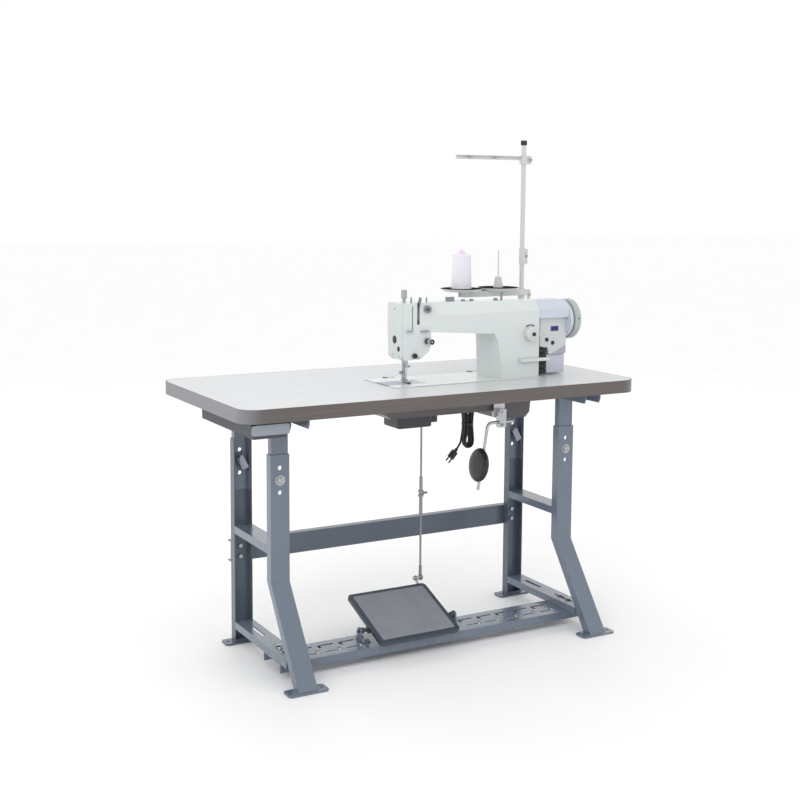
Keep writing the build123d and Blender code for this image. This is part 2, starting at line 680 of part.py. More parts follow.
with BuildPart() as spool_holders:
    # flared disc and spool pin, twice; the second pin carries a cone seat
    for x, tip in ((spool_x[0], 1061.0), (spool_x[1], 1057.0)):
        with Locations((x, pole_y, rail_z1 + disc_h / 2)):
            Cone(disc_r - 13, disc_r, disc_h)
        rod_z(disc_seat, tip, x, pole_y, 2.0)
    with BuildSketch(Plane.XY.offset(disc_seat)):
        with Locations((spool_x[1], pole_y)):
            Circle(15.5)
    extrude(amount=33, taper=10)
write("spool_holders", spool_holders)

cone_bottom, cone_top = disc_seat + free_gap, 1047.0
with BuildPart() as thread_cone:
    with BuildSketch(Plane.XY.offset(cone_bottom)):
        with Locations((spool_x[0], pole_y)):
            Circle(31)
    extrude(amount=cone_top - cone_bottom, taper=1.8)
    rod_z(cone_bottom - 1, cone_top + 5, spool_x[0], pole_y, 6.0, mode=Mode.SUBTRACT)
    fillet(thread_cone.edges().filter_by(GeomType.CIRCLE).group_by(Axis.Z)[-1].sort_by(SortBy.RADIUS)[-1], 3)
write("thread_cone", thread_cone)

arm_z0, arm_z1 = 1334.0, 1346.0
eyelet_x = (345.0, 437.0)
eyelet_r = 5.0
with BuildPart() as guide_arm:
    block(297, pole_x - 8, pole_y - 1, pole_y + 1, arm_z0, arm_z1)
    block(297, pole_x - 8, pole_y - 9, pole_y + 1, arm_z1 - 2, arm_z1)
    rod_z(arm_z0 - 12, arm_z1 + 2, pole_x, pole_y, 13)
    block(pole_x + 6, pole_x + 26, pole_y - 5, pole_y + 5, arm_z0 - 12, arm_z1 + 2)
    rod_z(arm_z0 - 13, arm_z1 + 3, pole_x, pole_y, pole_r + running_gap, mode=Mode.SUBTRACT)
    rod_y(pole_y - 12, pole_y + 12, pole_x + 19, arm_z0 + 1, 5)
    # eyelets that the threads come down through
    for x in eyelet_x:
        block(x - 9, x + 9, pole_y - 24, pole_y - 1, arm_z0, arm_z0 + 2.5)
        rod_z(arm_z0 - 1, arm_z0 + 4, x, pole_y - 15, eyelet_r, mode=Mode.SUBTRACT)
write("guide_arm", guide_arm)

# ---------------------------------------------------------------- head: bed
slab_bottom, skirt_bottom = bed_top - 18.0, underside + 3.0
plate_t = 2.0
hook_z = 672.0
hook_r = 17.0
hook_shaft_r = 6.0
belt_x0, belt_x1 = 300.0, 312.0
upper_pulley_r, lower_pulley_r = 22.0, 11.0
wheel_x0, wheel_x1 = 502.0, 523.0
wheel_r = 58.0
slide_right = needle_x - 8.0
plate_front, plate_rear = needle_y - 26.0, needle_y + 44.0
needle_plate_right = needle_x + 47.0

with BuildPart() as bed_casting:
    block(bed_left, bed_right, bed_front, bed_rear, slab_bottom, bed_top)
    block(bed_left + 6, bed_right - 6, bed_front + 6, bed_rear - 6, skirt_bottom, slab_bottom)
    block(
        bed_left + 12, bed_right - 12, bed_front + 12, bed_rear - 12,
        skirt_bottom - 1, bed_top - 8, mode=Mode.SUBTRACT,
    )
    # recess and opening under the slide plate and the needle plate
    block(
        bed_left - 1, needle_plate_right, plate_front, plate_rear,
        bed_top - plate_t - 0.1, bed_top + 1, mode=Mode.SUBTRACT,
    )
    block(
        bed_left + 11, needle_plate_right - 22, plate_front + 8, plate_rear - 8,
        bed_top - 12, bed_top, mode=Mode.SUBTRACT,
    )
    # belt opening under the column
    block(
        belt_x0 - 6, belt_x1 + 6, needle_y - 24, needle_y + 24,
        bed_top - 12, bed_top + 1, mode=Mode.SUBTRACT,
    )
    # bearing lugs for the hook shaft
    for x in (2.0, 280.0):
        block(x, x + 12, needle_y - 11, needle_y + 11, hook_z - 10, bed_top - 8)
        rod_x(x - 1, x + 13, needle_y, hook_z, hook_shaft_r + running_gap, mode=Mode.SUBTRACT)
    # hinge knuckles at the rear edge
    for x in hinge_x:
        block(x - 18, x + 18, bed_rear - 6, bed_rear + 1, skirt_bottom - 1, bed_top + 1, mode=Mode.SUBTRACT)
        rod_x(x - 7, x + 7, hinge_y, hinge_z, 9)
        block(x - 7, x + 7, bed_rear - 13, hinge_y, slab_bottom, hinge_z + 2)
        rod_x(x - 8, x + 8, hinge_y, hinge_z, 4 + running_gap, mode=Mode.SUBTRACT)
write("bed_casting", bed_casting)

with BuildPart() as bed_hinges:
    for x in hinge_x:
        rear_wall = cutout[3] + pocket_deep
        block(x - 15, x + 15, rear_wall - 3, rear_wall, underside + 4, table_top - 1)
        for s in (-1, 1):
            block(*sorted((x + s * 7.5, x + s * 13)), hinge_y, rear_wall - 2, hinge_z - 7, hinge_z + 7)
            rod_x(*sorted((x + s * 7.5, x + s * 13)), hinge_y, hinge_z, 7)
        rod_x(x - 13, x + 13, hinge_y, hinge_z, 4)
write("bed_hinges", bed_hinges)

with BuildPart() as needle_plate:
    with BuildSketch(Plane.XY.offset(bed_top - plate_t)):
        with Locations(((slide_right + 0.4 + needle_plate_right) / 2, (plate_front + plate_rear) / 2)):
            RectangleRounded(needle_plate_right - slide_right - 0.8, plate_rear - plate_front - 0.8, 6)
    extrude(amount=plate_t)
    rod_z(bed_top - 3, bed_top + 1, needle_x, needle_y, 1.6, mode=Mode.SUBTRACT)
    for y in (needle_y - 9, needle_y + 9):
        block(needle_x - 6, needle_x + 6, y - 1.5, y + 1.5, bed_top - 3, bed_top + 1, mode=Mode.SUBTRACT)
write("needle_plate", needle_plate)

with BuildPart() as slide_plate:
    block(
        bed_left, slide_right - free_gap, plate_front + free_gap, plate_rear - free_gap,
        bed_top - plate_t + 0.3, bed_top,
    )
write("slide_plate", slide_plate)

# ---------------------------------------------------------------- head: arm
head_left = -69.0
column_left, column_right = 222.0, bed_right
# column's left face at three heights: (z, x at the front, x at the rear)
column_face = ((bed_top, 254.0, 231.0), (815.0, 239.0, 227.0), (841.0, 225.0, 224.0))
arm_low = 843.0
arm_fall = 6.0
wall = 7.0
with BuildPart() as arm_casting:
    # arm and column in one outline
    prism_xz(
        [
            (15, 855), (180, arm_low), (204, arm_low - 2), (column_left, arm_low - 4),
            (column_left, bed_top), (column_right, bed_top), (column_right, arm_top - arm_fall), (15, arm_top),
        ],
        head_front, arm_rear,
    )
    # the column's left face runs back and to the left from its front corner, and flares downwards
    sections = []
    for z, x_front, x_rear in column_face:
        with BuildSketch(Plane.XY.offset(z)) as section:
            with BuildLine():
                Polyline(
                    (column_left - 20, head_front - 1), (x_front + 0.5, head_front - 1),
                    (x_front - 0.4 * (x_front - x_rear), head_front + 26),
                    (x_rear, arm_rear + 1), (column_left - 20, arm_rear + 1), close=True,
                )
            make_face()
        sections.append(section.sketch)
    loft(sections=sections, ruled=True, mode=Mode.SUBTRACT)
    # long bevels along the top, front and back
    for y, s in ((head_front, 1), (arm_rear, -1)):
        prism_yz(
            [(y - s, arm_top - 34), (y, arm_top - 34), (y + s * 22, arm_top + 1), (y - s, arm_top + 1)],
            20, column_right + 1, mode=Mode.SUBTRACT,
        )
    # head that holds the needle bar
    prism_xz(
        [
            (head_left, 790), (head_left + 9, 780), (-12, 783), (14, 803), (20, 820),
            (20, arm_top), (head_left, arm_top),
        ],
        head_front, head_rear,
    )
    # bush for the presser bar under the head
    rod_z(764, 786, needle_x, needle_y + 17, 6.5)
    # hollows: head, arm and column
    block(head_left - 1, 12, head_front + wall, head_rear - 5, 795, 888, mode=Mode.SUBTRACT)
    block(22, column_right - 8, head_front + 18, arm_rear - 18, 860, 900, mode=Mode.SUBTRACT)
    block(264, column_right - 8, head_front + 12, arm_rear - 12, bed_top - 1, 892, mode=Mode.SUBTRACT)
    # bearings of the main shaft
    rod_x(10, 24, needle_y, shaft_z, shaft_r + running_gap, mode=Mode.SUBTRACT)
    rod_x(column_right - 9, column_right + 1, needle_y, shaft_z, shaft_r + running_gap, mode=Mode.SUBTRACT)
    # needle bar and presser bar bores
    rod_z(775, 800, needle_x, needle_y, 3.5 + running_gap, mode=Mode.SUBTRACT)
    rod_z(880, arm_top + 1, needle_x, needle_y, 3.5 + running_gap, mode=Mode.SUBTRACT)
    rod_z(760, 800, needle_x, needle_y + 17, 4.0 + running_gap, mode=Mode.SUBTRACT)
    rod_z(880, arm_top + 1, needle_x, needle_y + 17, 4.0 + running_gap, mode=Mode.SUBTRACT)
    # slot that the take-up lever works in, and a guide slot beside it
    block(-24, -16, head_front - 1, head_front + 20, 876, arm_top + 1, mode=Mode.SUBTRACT)
    block(-24, -16, head_front + 19, head_front + 36, 876, 910, mode=Mode.SUBTRACT)
    block(-40, -37, head_front - 1, head_front + wall + 1, 862, arm_top - 8, mode=Mode.SUBTRACT)
    # pin that the take-up lever swings on
    rod_x(-25, 14, needle_y - 24, 886, 3.0)
    # bores of the stitch dial, the reverse lever, the tension post and the reverse button
    rod_y(head_front - 1, head_front + 13, 346, 835, 5 + running_gap, mode=Mode.SUBTRACT)
    rod_y(head_front - 1, head_front + 13, 318, 761, 4 + running_gap, mode=Mode.SUBTRACT)
    rod_y(head_front - 1, head_front + 8, 8, 830, 3 + running_gap, mode=Mode.SUBTRACT)
    rod_y(head_front - 1, head_front + 8, -33, 792, 5 + free_gap, mode=Mode.SUBTRACT)
write("arm_casting", arm_casting)

with BuildPart() as face_plate:
    with BuildSketch(Plane.YZ.offset(head_left - 3)):
        with BuildLine():
            Polyline(
                (head_front, arm_top - 6), (head_front + 6, arm_top), (head_rear - 2, arm_top),
                (head_rear, 884), (head_rear - 5, 800), (head_rear - 16, 788),
                (head_front + 6, 782), (head_front, 792), close=True,
            )
        make_face()
    extrude(amount=2.8)
    for y, z, r in ((table_y - 86, 834.7, 5.5), (table_y - 108, 811, 4.0)):
        rod_x(head_left - 4, head_left, y, z, r, mode=Mode.SUBTRACT)
write("face_plate", face_plate)

# ---------------------------------------------------------------- head: motor end
with BuildPart() as motor_housing:
    prism_yz(
        [
            (head_front + 3, 877), (head_front + 3, 902), (head_front + 22, arm_top - 8),
            (arm_rear - 10, arm_top - 8), (arm_rear, 902), (arm_rear, 790), (head_front + 30, 790),
            (head_front + 30, 877),
        ],
        column_right, 484,
    )
    rod_x(484, wheel_x0 - 4, needle_y, shaft_z, 53)
    rod_x(column_right - 1, wheel_x0, needle_y, shaft_z, shaft_r + 1, mode=Mode.SUBTRACT)
write("motor_housing", motor_housing)

panel_front = head_front + 16.0
with BuildPart() as control_panel:
    prism_xz(
        [
            (392, 876), (484, 876), (484, 770), (424, 770), (420, 790.5), (392, 794),
        ],
        panel_front, panel_front + 13.6,
    )
    fillet(control_panel.edges().filter_by(Axis.Y), 4)
    for x, z in ((416, 813), (437, 803)):
        rod_y(panel_front - 1, panel_front + 6, x, z, 5 + free_gap, mode=Mode.SUBTRACT)
write("control_panel", control_panel)

with BuildPart() as control_box:
    block(418, 484, head_front + 21, arm_rear - 10, bed_top + 2, 769.6)
    fillet(control_box.edges().filter_by(Axis.Z), 5)
    # black motor bracket between the column and the box
    block(column_right, 418, head_front + 18, arm_rear - 14, 715, 789.6)
write("control_box", control_box)

for label, x, z in (("speed_up_button", 416, 813), ("speed_down_button", 437, 803)):
    with BuildPart() as button:
        rod_y(panel_front - 2.5, panel_front + 3, x, z, 5)
    write(label, button)

# ---------------------------------------------------------------- head: drive inside
with BuildPart() as main_shaft:
    rod_x(-4, wheel_x1 + 4, needle_y, shaft_z, shaft_r)
    rod_x(-4, 8, needle_y, shaft_z, 16)
    rod_x(belt_x0 - 1, belt_x1 + 1, needle_y, shaft_z, upper_pulley_r - 0.4)
    # crank pin
    rod_x(-12, -4, needle_y, shaft_z - 11, 3)
write("main_shaft", main_shaft)

with BuildPart() as handwheel:
    with BuildSketch(Plane.YZ.offset(wheel_x0)):
        with Locations((needle_y, shaft_z)):
            Circle(wheel_r)
    extrude(amount=wheel_x1 - wheel_x0)
    fillet(handwheel.edges().filter_by(GeomType.CIRCLE), 5)
    rod_x(wheel_x0 - 1, wheel_x0 + 9, needle_y, shaft_z, wheel_r - 11, mode=Mode.SUBTRACT)
    rod_x(wheel_x1 - 9, wheel_x1 + 1, needle_y, shaft_z, wheel_r - 11, mode=Mode.SUBTRACT)
    rod_x(wheel_x0 + 1, wheel_x1, needle_y, shaft_z, 16)
    rod_x(wheel_x0, wheel_x1 + 1, needle_y, shaft_z, shaft_r, mode=Mode.SUBTRACT)
write("handwheel", handwheel)

with BuildPart() as timing_belt:
    centres = ((shaft_z, upper_pulley_r), (hook_z, lower_pulley_r))
    for grow, mode in ((2.0, Mode.ADD), (0.0, Mode.SUBTRACT)):
        with BuildSketch(Plane.YZ.offset(belt_x0)) as loop:
            for z, r in centres:
                with Locations((needle_y, z)):
                    Circle(r + grow)
            make_hull()
        extrude(loop.sketch, amount=belt_x1 - belt_x0, mode=mode)
write("timing_belt", timing_belt)

with BuildPart() as hook_shaft:
    rod_x(needle_x - 4, 318, needle_y, hook_z, hook_shaft_r)
    rod_x(belt_x0 - 1, belt_x1 + 1, needle_y, hook_z, lower_pulley_r - 0.4)
    # rotary hook: open cup with its bobbin case inside
    rod_x(needle_x - 25, needle_x - 4, needle_y, hook_z, hook_r)
    rod_x(needle_x - 26, needle_x - 8, needle_y, hook_z, hook_r - 2.5, mode=Mode.SUBTRACT)
    rod_x(needle_x - 27, needle_x - 8, needle_y, hook_z, hook_r - 3.5)
    rod_x(needle_x - 9, needle_x - 4, needle_y, hook_z, hook_r - 2)
write("hook_shaft", hook_shaft)

# ---------------------------------------------------------------- head: needle, presser, take-up
bar_bottom = 754.0
with BuildPart() as needle_bar:
    rod_z(bar_bottom, 926, needle_x, needle_y, 3.5)
    rod_z(bar_bottom - 1, bar_bottom + 8, needle_x, needle_y, 4.6)
    rod_x(needle_x + 3, needle_x + 11, needle_y, bar_bottom + 3, 2.4)
    rod_z(721, bar_bottom, needle_x, needle_y, 0.9)
    # block that the crank's link drives
    block(needle_x - 6, needle_x + 8, needle_y - 7, needle_y + 6, 838, 850)
write("needle_bar", needle_bar)

foot_z = bed_top + 0.6
presser_y = needle_y + 17.0
with BuildPart() as presser_bar:
    rod_z(736, 886, needle_x, presser_y, 4.0)
    block(needle_x - 6, needle_x + 6, presser_y - 5, presser_y + 5, 815, 828)
    # foot: shank, clamp screw and sole with the needle opening
    block(needle_x - 4, needle_x + 4, presser_y - 5, presser_y + 4.4, 722, 744)
    rod_x(needle_x - 12, needle_x - 3, presser_y, 739, 4)
    prism_yz(
        [
            (presser_y + 4, 722), (presser_y - 5, 722), (needle_y - 12, foot_z + 3),
            (needle_y - 18, foot_z + 5), (needle_y - 19, foot_z + 3), (needle_y - 12, foot_z),
            (presser_y - 2, foot_z), (presser_y + 4, foot_z + 6),
        ],
        needle_x - 6, needle_x + 6,
    )
    rod_z(foot_z - 1, 736, needle_x, needle_y, 3.2, mode=Mode.SUBTRACT)
write("presser_bar", presser_bar)

take_pivot_y, take_pivot_z = needle_y - 24.0, 886.0
with BuildPart() as take_up_lever:
    tip_y, tip_z = take_pivot_y - 36, take_pivot_z + 61
    prism_yz(
        [
            (take_pivot_y - 5, take_pivot_z + 2), (take_pivot_y + 4, take_pivot_z + 4),
            (tip_y + 8, tip_z - 4), (tip_y + 4, tip_z + 4), (tip_y - 4, tip_z + 3), (tip_y - 3, tip_z - 6),
        ],
        -21.5, -18.5,
    )
    rod_x(-21.5, -18.5, take_pivot_y, take_pivot_z, 6.5)
    rod_x(-22, -18, tip_y, tip_z - 1, 1.8, mode=Mode.SUBTRACT)
    rod_x(-23, -17, take_pivot_y, take_pivot_z, 3.0 + running_gap, mode=Mode.SUBTRACT)
write("take_up_lever", take_up_lever)

with BuildPart() as pressure_knob:
    rod_z(arm_top + 0.4, arm_top + 26, needle_x, presser_y, 4.5)
    rod_z(arm_top + 8, arm_top + 32, needle_x, presser_y, 8)
    rod_z(arm_top - 24, arm_top + 1, needle_x, presser_y, 4.0)
write("pressure_knob", pressure_knob)

# ---------------------------------------------------------------- head: controls on the front
with BuildPart() as stitch_dial:
    rod_y(head_front - 20, head_front - 0.4, 346, 835, 21)
    fillet(stitch_dial.faces().sort_by(Axis.Y)[0].edges(), 3)
    rod_y(head_front - 1, head_front + 12, 346, 835, 5)
    rod_y(head_front - 23, head_front - 20, 346, 835, 5)
write("stitch_dial", stitch_dial)

with BuildPart() as reverse_lever:
    block(308, 408, head_front - 12, head_front - 4, 756.5, 765.5)
    fillet(reverse_lever.edges().filter_by(Axis.Y), 3)
    rod_y(head_front - 5, head_front + 12, 318, 761, 4)
write("reverse_lever", reverse_lever)

with BuildPart() as reverse_button:
    rod_y(head_front - 7, head_front + 6, -33, 792, 5)
    rod_y(head_front - 7, head_front - 3, -33, 792, 7)
write("reverse_button", reverse_button)

with BuildPart() as tension_knob:
    rod_y(head_front - 3, head_front + 6, 8, 830, 3)
    rod_y(head_front - 12, head_front - 3, 8, 830, 2.4)
    rod_y(head_front - 6, head_front - 0.4, 8, 830, 11)
    rod_y(head_front - 26, head_front - 11, 8, 830, 8)
write("tension_knob", tension_knob)



def arm_surface(x):
    """Height just over the top of the arm, which falls gently to the right."""
    return arm_top - arm_fall * (x - 15) / (column_right - 15) + 0.2


with BuildPart() as thread_guides:
    # upper tension, guide bars across the slots, posts on the top and bobbin winder parts
    rod_y(head_front - 18, head_front, 6, 917, 3)
    rod_y(head_front - 8, head_front - 3, 6, 917, 10)
    block(-56, -40, head_front - 6, head_front, 858, 861)
    block(-14, 12, head_front - 6, head_front, 856, 859)
    rod_z(arm_top, arm_top + 16, -39, head_front + 8, 2.2)
    rod_z(arm_top, arm_top + 14, 11, head_front + 12, 2.0)
    for x in (150.0, 178.0, 258.0):
        rod_z(arm_surface(x), arm_top + 2, x, table_y - 78, 6)
    block(96, 118, table_y - 84, table_y - 72, arm_surface(107), arm_top + 10)
    rod_z(arm_surface(282), arm_top + 18, 282, table_y - 72, 3.2)
    # small lamp under the head
    prism_xz([(-8, 786), (12, 801.4), (15, 797), (-3, 782)], table_y - 110, table_y - 86)
write("thread_guides", thread_guides)
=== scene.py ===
"""Studio scene of the industrial sewing machine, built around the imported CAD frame.

Metres throughout, in the CAD's own frame: origin on the floor, +X to the operator's right,
+Y away from the operator, +Z up.
"""
import math

import bmesh
import bpy
from mathutils import Matrix, Vector


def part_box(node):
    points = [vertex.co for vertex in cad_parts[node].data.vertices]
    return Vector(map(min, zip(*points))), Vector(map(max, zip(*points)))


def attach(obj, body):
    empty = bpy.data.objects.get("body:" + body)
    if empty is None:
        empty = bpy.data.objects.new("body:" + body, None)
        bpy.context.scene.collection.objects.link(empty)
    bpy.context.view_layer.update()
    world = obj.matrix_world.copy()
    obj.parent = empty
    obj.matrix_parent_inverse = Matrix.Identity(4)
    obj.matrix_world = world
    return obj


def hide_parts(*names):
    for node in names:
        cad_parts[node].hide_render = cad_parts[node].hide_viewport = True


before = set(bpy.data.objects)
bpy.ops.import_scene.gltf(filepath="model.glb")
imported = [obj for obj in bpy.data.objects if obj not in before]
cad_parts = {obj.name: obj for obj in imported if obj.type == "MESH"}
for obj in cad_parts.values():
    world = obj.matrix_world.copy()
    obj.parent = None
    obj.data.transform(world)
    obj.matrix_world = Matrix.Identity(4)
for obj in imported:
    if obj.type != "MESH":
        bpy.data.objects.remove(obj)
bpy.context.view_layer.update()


# ---------------------------------------------------------------- camera
def make_camera():
    """A 57 mm lens a little above the table, looking slightly down and to the right."""
    yaw, pitch, roll = math.radians(29.3), math.radians(-6.34), math.radians(0.37)
    ahead = Vector((math.sin(yaw) * math.cos(pitch), math.cos(yaw) * math.cos(pitch), math.sin(pitch)))
    side = ahead.cross(Vector((0, 0, 1))).normalized()
    up = side.cross(ahead)
    right = math.cos(roll) * side + math.sin(roll) * up
    top = -math.sin(roll) * side + math.cos(roll) * up
    data = bpy.data.cameras.new("Camera")
    data.lens = 57.05
    data.sensor_width = 36.0
    data.shift_y = -0.075
    data.clip_end = 50.0
    camera = bpy.data.objects.new("Camera", data)
    camera.matrix_world = Matrix.Translation((-1.727, -3.0427, 1.2121)) @ Matrix(
        (right, top, -ahead)
    ).transposed().to_4x4()
    bpy.context.collection.objects.link(camera)
    bpy.context.scene.camera = camera


make_camera()


# ---------------------------------------------------------------- materials
def linear(red, green, blue):
    """A linear colour from 0-255 display values."""
    def one(value):
        value /= 255
        return value / 12.92 if value <= 0.04045 else ((value + 0.055) / 1.055) ** 2.4
    return one(red), one(green), one(blue), 1.0


def shade(colour, factor):
    """The colour, lighter or darker."""
    return tuple(min(1.0, part * factor) for part in colour[:3]) + (1.0,)


class Surface:
    """A material under construction: a Principled shader and the nodes that feed it."""

    def __init__(self, name, roughness=0.5, metallic=0.0):
        self.material = bpy.data.materials.new(name)
        self.material.use_nodes = True
        self.nodes = self.material.node_tree.nodes
        self.links = self.material.node_tree.links
        self.shader = self.nodes["Principled BSDF"]
        self.shader.inputs["Roughness"].default_value = roughness
        self.shader.inputs["Metallic"].default_value = metallic
        self.coordinates = self.nodes.new("ShaderNodeTexCoord").outputs["Object"]

    def add(self, kind, inputs=(), **settings):
        """A node with its settings and inputs; a socket is linked and a number is set."""
        node = self.nodes.new(kind)
        for key, value in settings.items():
            setattr(node, key, value)
        for key, value in dict(inputs).items():
            if isinstance(value, bpy.types.NodeSocket):
                self.links.new(value, node.inputs[key])
            else:
                node.inputs[key].default_value = value
        return node

    def noise(self, scale, detail=4.0, stretch=(1, 1, 1)):
        """Noise in object space; scale is in cycles a metre."""
        mapping = self.add("ShaderNodeMapping", {"Vector": self.coordinates, "Scale": stretch})
        noise = self.add(
            "ShaderNodeTexNoise", {"Vector": mapping.outputs[0], "Scale": scale, "Detail": detail}
        )
        return noise.outputs[0]

    def ramp(self, factor, stops):
        """Colours along a factor: stops are (position, colour)."""
        node = self.add("ShaderNodeValToRGB", {"Fac": factor})
        elements = node.color_ramp.elements
        for element, (position, colour) in zip(elements, (stops[0], stops[-1])):
            element.position, element.color = position, colour
        for position, colour in stops[1:-1]:
            elements.new(position).color = colour
        return node.outputs[0]

    def colour(self, socket):
        """Feeds the base colour."""
        self.links.new(socket, self.shader.inputs["Base Color"])

    def rough(self, factor, low, high):
        """Feeds the roughness with a factor spread between two values."""
        node = self.add("ShaderNodeMapRange", {"Value": factor, "To Min": low, "To Max": high})
        self.links.new(node.outputs[0], self.shader.inputs["Roughness"])

    def bump(self, height, strength, distance, rounding=0.0):
        """Feeds the normal with a bump, over softened edges where rounding is a radius in metres."""
        inputs = {"Height": height, "Strength": strength, "Distance": distance}
        if rounding:
            inputs["Normal"] = self.add("ShaderNodeBevel", {"Radius": rounding}, samples=4).outputs[0]
        node = self.add("ShaderNodeBump", inputs)
        self.links.new(node.outputs[0], self.shader.inputs["Normal"])


def painted(name, colour, roughness=0.35, peel=0.12, vary=0.05, coat=0.3):
    """Sprayed enamel or powder coat: faint orange peel, a little dust and uneven gloss."""
    surface = Surface(name, roughness)
    broad, fine = surface.noise(6, 5), surface.noise(900, 2)
    surface.colour(surface.ramp(broad, [(0.3, shade(colour, 1 - vary)), (0.7, shade(colour, 1 + vary))]))
    surface.rough(surface.noise(25, 4), roughness - 0.07, roughness + 0.09)
    surface.bump(fine, peel, 0.0004, 0.0012)
    surface.shader.inputs["Coat Weight"].default_value = coat
    surface.shader.inputs["Coat Roughness"].default_value = 0.2
    return surface.material


def bare_metal(name, colour, roughness=0.3, stretch=(1, 1, 1), grain=0.15, vary=0.10):
    """Ground, plated or polished metal with a directional grain."""
    surface = Surface(name, roughness, 1.0)
    grain_noise, blotch = surface.noise(700, 3, stretch), surface.noise(30, 4)
    surface.colour(surface.ramp(blotch, [(0.3, shade(colour, 1 - vary)), (0.7, shade(colour, 1 + vary))]))
    surface.rough(grain_noise, roughness - 0.08, roughness + 0.10)
    surface.bump(grain_noise, grain, 0.0002, 0.0006)
    return surface.material


def moulded(name, colour, roughness=0.45, texture=0.25, vary=0.05, scale=1400):
    """Moulded plastic or rubber with a fine spark-eroded texture."""
    surface = Surface(name, roughness)
    stops = [(0.3, shade(colour, 1 - vary)), (0.7, shade(colour, 1 + vary))]
    surface.colour(surface.ramp(surface.noise(9, 4), stops))
    surface.rough(surface.noise(60, 3), roughness - 0.06, roughness + 0.08)
    surface.bump(surface.noise(scale, 2), texture, 0.0004, 0.0010)
    return surface.material


def laminate(name):
    """Pale work-table laminate: cloudy off-white with fine grey specks, satin."""
    surface = Surface(name, 0.30)
    base, light, speck = linear(200, 202, 204), linear(204, 206, 208), linear(190, 192, 195)
    cloud = surface.ramp(surface.noise(14, 6), [(0.35, base), (0.65, light)])
    cells = surface.add("ShaderNodeTexVoronoi", {"Vector": surface.coordinates, "Scale": 420.0})
    dots = surface.ramp(cells.outputs["Distance"], [(0.10, (1, 1, 1, 1)), (0.16, (0, 0, 0, 1))])
    mix = surface.add("ShaderNodeMixRGB", {"Fac": dots, "Color1": cloud, "Color2": speck})
    surface.colour(mix.outputs[0])
    surface.rough(surface.noise(120, 3), 0.24, 0.36)
    surface.bump(surface.noise(1500, 2), 0.08, 0.0003, 0.0008)
    return surface.material


def edging(name):
    """Grey-brown edge band with long faint streaks."""
    surface = Surface(name, 0.38)
    streaks = surface.noise(60, 5, (0.06, 0.06, 6.0))
    front = surface.ramp(streaks, [(0.3, linear(88, 81, 79)), (0.7, linear(102, 95, 94))])
    ends = surface.ramp(streaks, [(0.3, linear(126, 125, 130)), (0.7, linear(138, 137, 142))])
    # painted light and shade: the two short sides get a paler band than the long ones, standing in for the
    # light falling on the ends and the shade on the front and back
    normal = surface.add("ShaderNodeSeparateXYZ", {0: surface.add("ShaderNodeTexCoord").outputs["Normal"]})
    side = surface.add("ShaderNodeMath", {0: normal.outputs[0]}, operation="ABSOLUTE").outputs[0]
    mix = surface.add("ShaderNodeMixRGB", {"Fac": side, "Color1": front, "Color2": ends})
    surface.colour(mix.outputs[0])
    surface.rough(streaks, 0.30, 0.46)
    surface.bump(streaks, 0.10, 0.0004, 0.0015)
    return surface.material


def mat_rubber(name):
    """Treadle mat: pale grey rubber with a fine pimpled grain, a little dusty."""
    surface = Surface(name, 0.58)
    dust = surface.noise(30, 5)
    pimples = surface.add("ShaderNodeTexVoronoi", {"Vector": surface.coordinates, "Scale": 700.0})
    surface.colour(surface.ramp(dust, [(0.3, linear(130, 133, 142)), (0.7, linear(138, 141, 149))]))
    surface.rough(dust, 0.52, 0.68)
    surface.bump(pimples.outputs["Distance"], 0.2, 0.0003, 0.001)
    return surface.material


def wound_thread(name):
    """White sewing thread laid in crossing turns round a cone."""
    surface = Surface(name, 0.75)
    turns = []
    for lean in (0.35, -0.35):
        turned = surface.add("ShaderNodeMapping", {"Vector": surface.coordinates, "Rotation": (lean, lean, 0)})
        wave = surface.add(
            "ShaderNodeTexWave",
            {"Vector": turned.outputs[0], "Scale": 260.0, "Distortion": 1.5, "Detail": 1.0},
            wave_type="BANDS", bands_direction="Z",
        )
        turns.append(wave.outputs[1])
    weave = surface.add("ShaderNodeMath", {0: turns[0], 1: turns[1]}, operation="MAXIMUM").outputs[0]
    surface.colour(surface.ramp(weave, [(0.0, linear(222, 222, 234)), (1.0, linear(248, 248, 252))]))
    surface.bump(weave, 0.5, 0.0004)
    surface.shader.inputs["Sheen Weight"].default_value = 0.3
    return surface.material


def felt(name):
    """Dark felt with a fuzzy nap."""
    surface = Surface(name, 0.95)
    fuzz = surface.noise(1100, 6)
    surface.colour(surface.ramp(fuzz, [(0.3, linear(34, 34, 36)), (0.7, linear(52, 52, 55))]))
    surface.bump(fuzz, 0.8, 0.0008)
    surface.shader.inputs["Specular IOR Level"].default_value = 0.0
    return surface.material


def display_glass(name):
    """Dark violet display window with a faint cell pattern behind it."""
    surface = Surface(name, 0.08)
    cells = surface.add("ShaderNodeTexVoronoi", {"Vector": surface.coordinates, "Scale": 500.0})
    surface.colour(
        surface.ramp(cells.outputs["Distance"], [(0.0, linear(34, 20, 92)), (1.0, linear(52, 34, 120))])
    )
    surface.bump(surface.noise(800, 2), 0.02, 0.0001)
    return surface.material


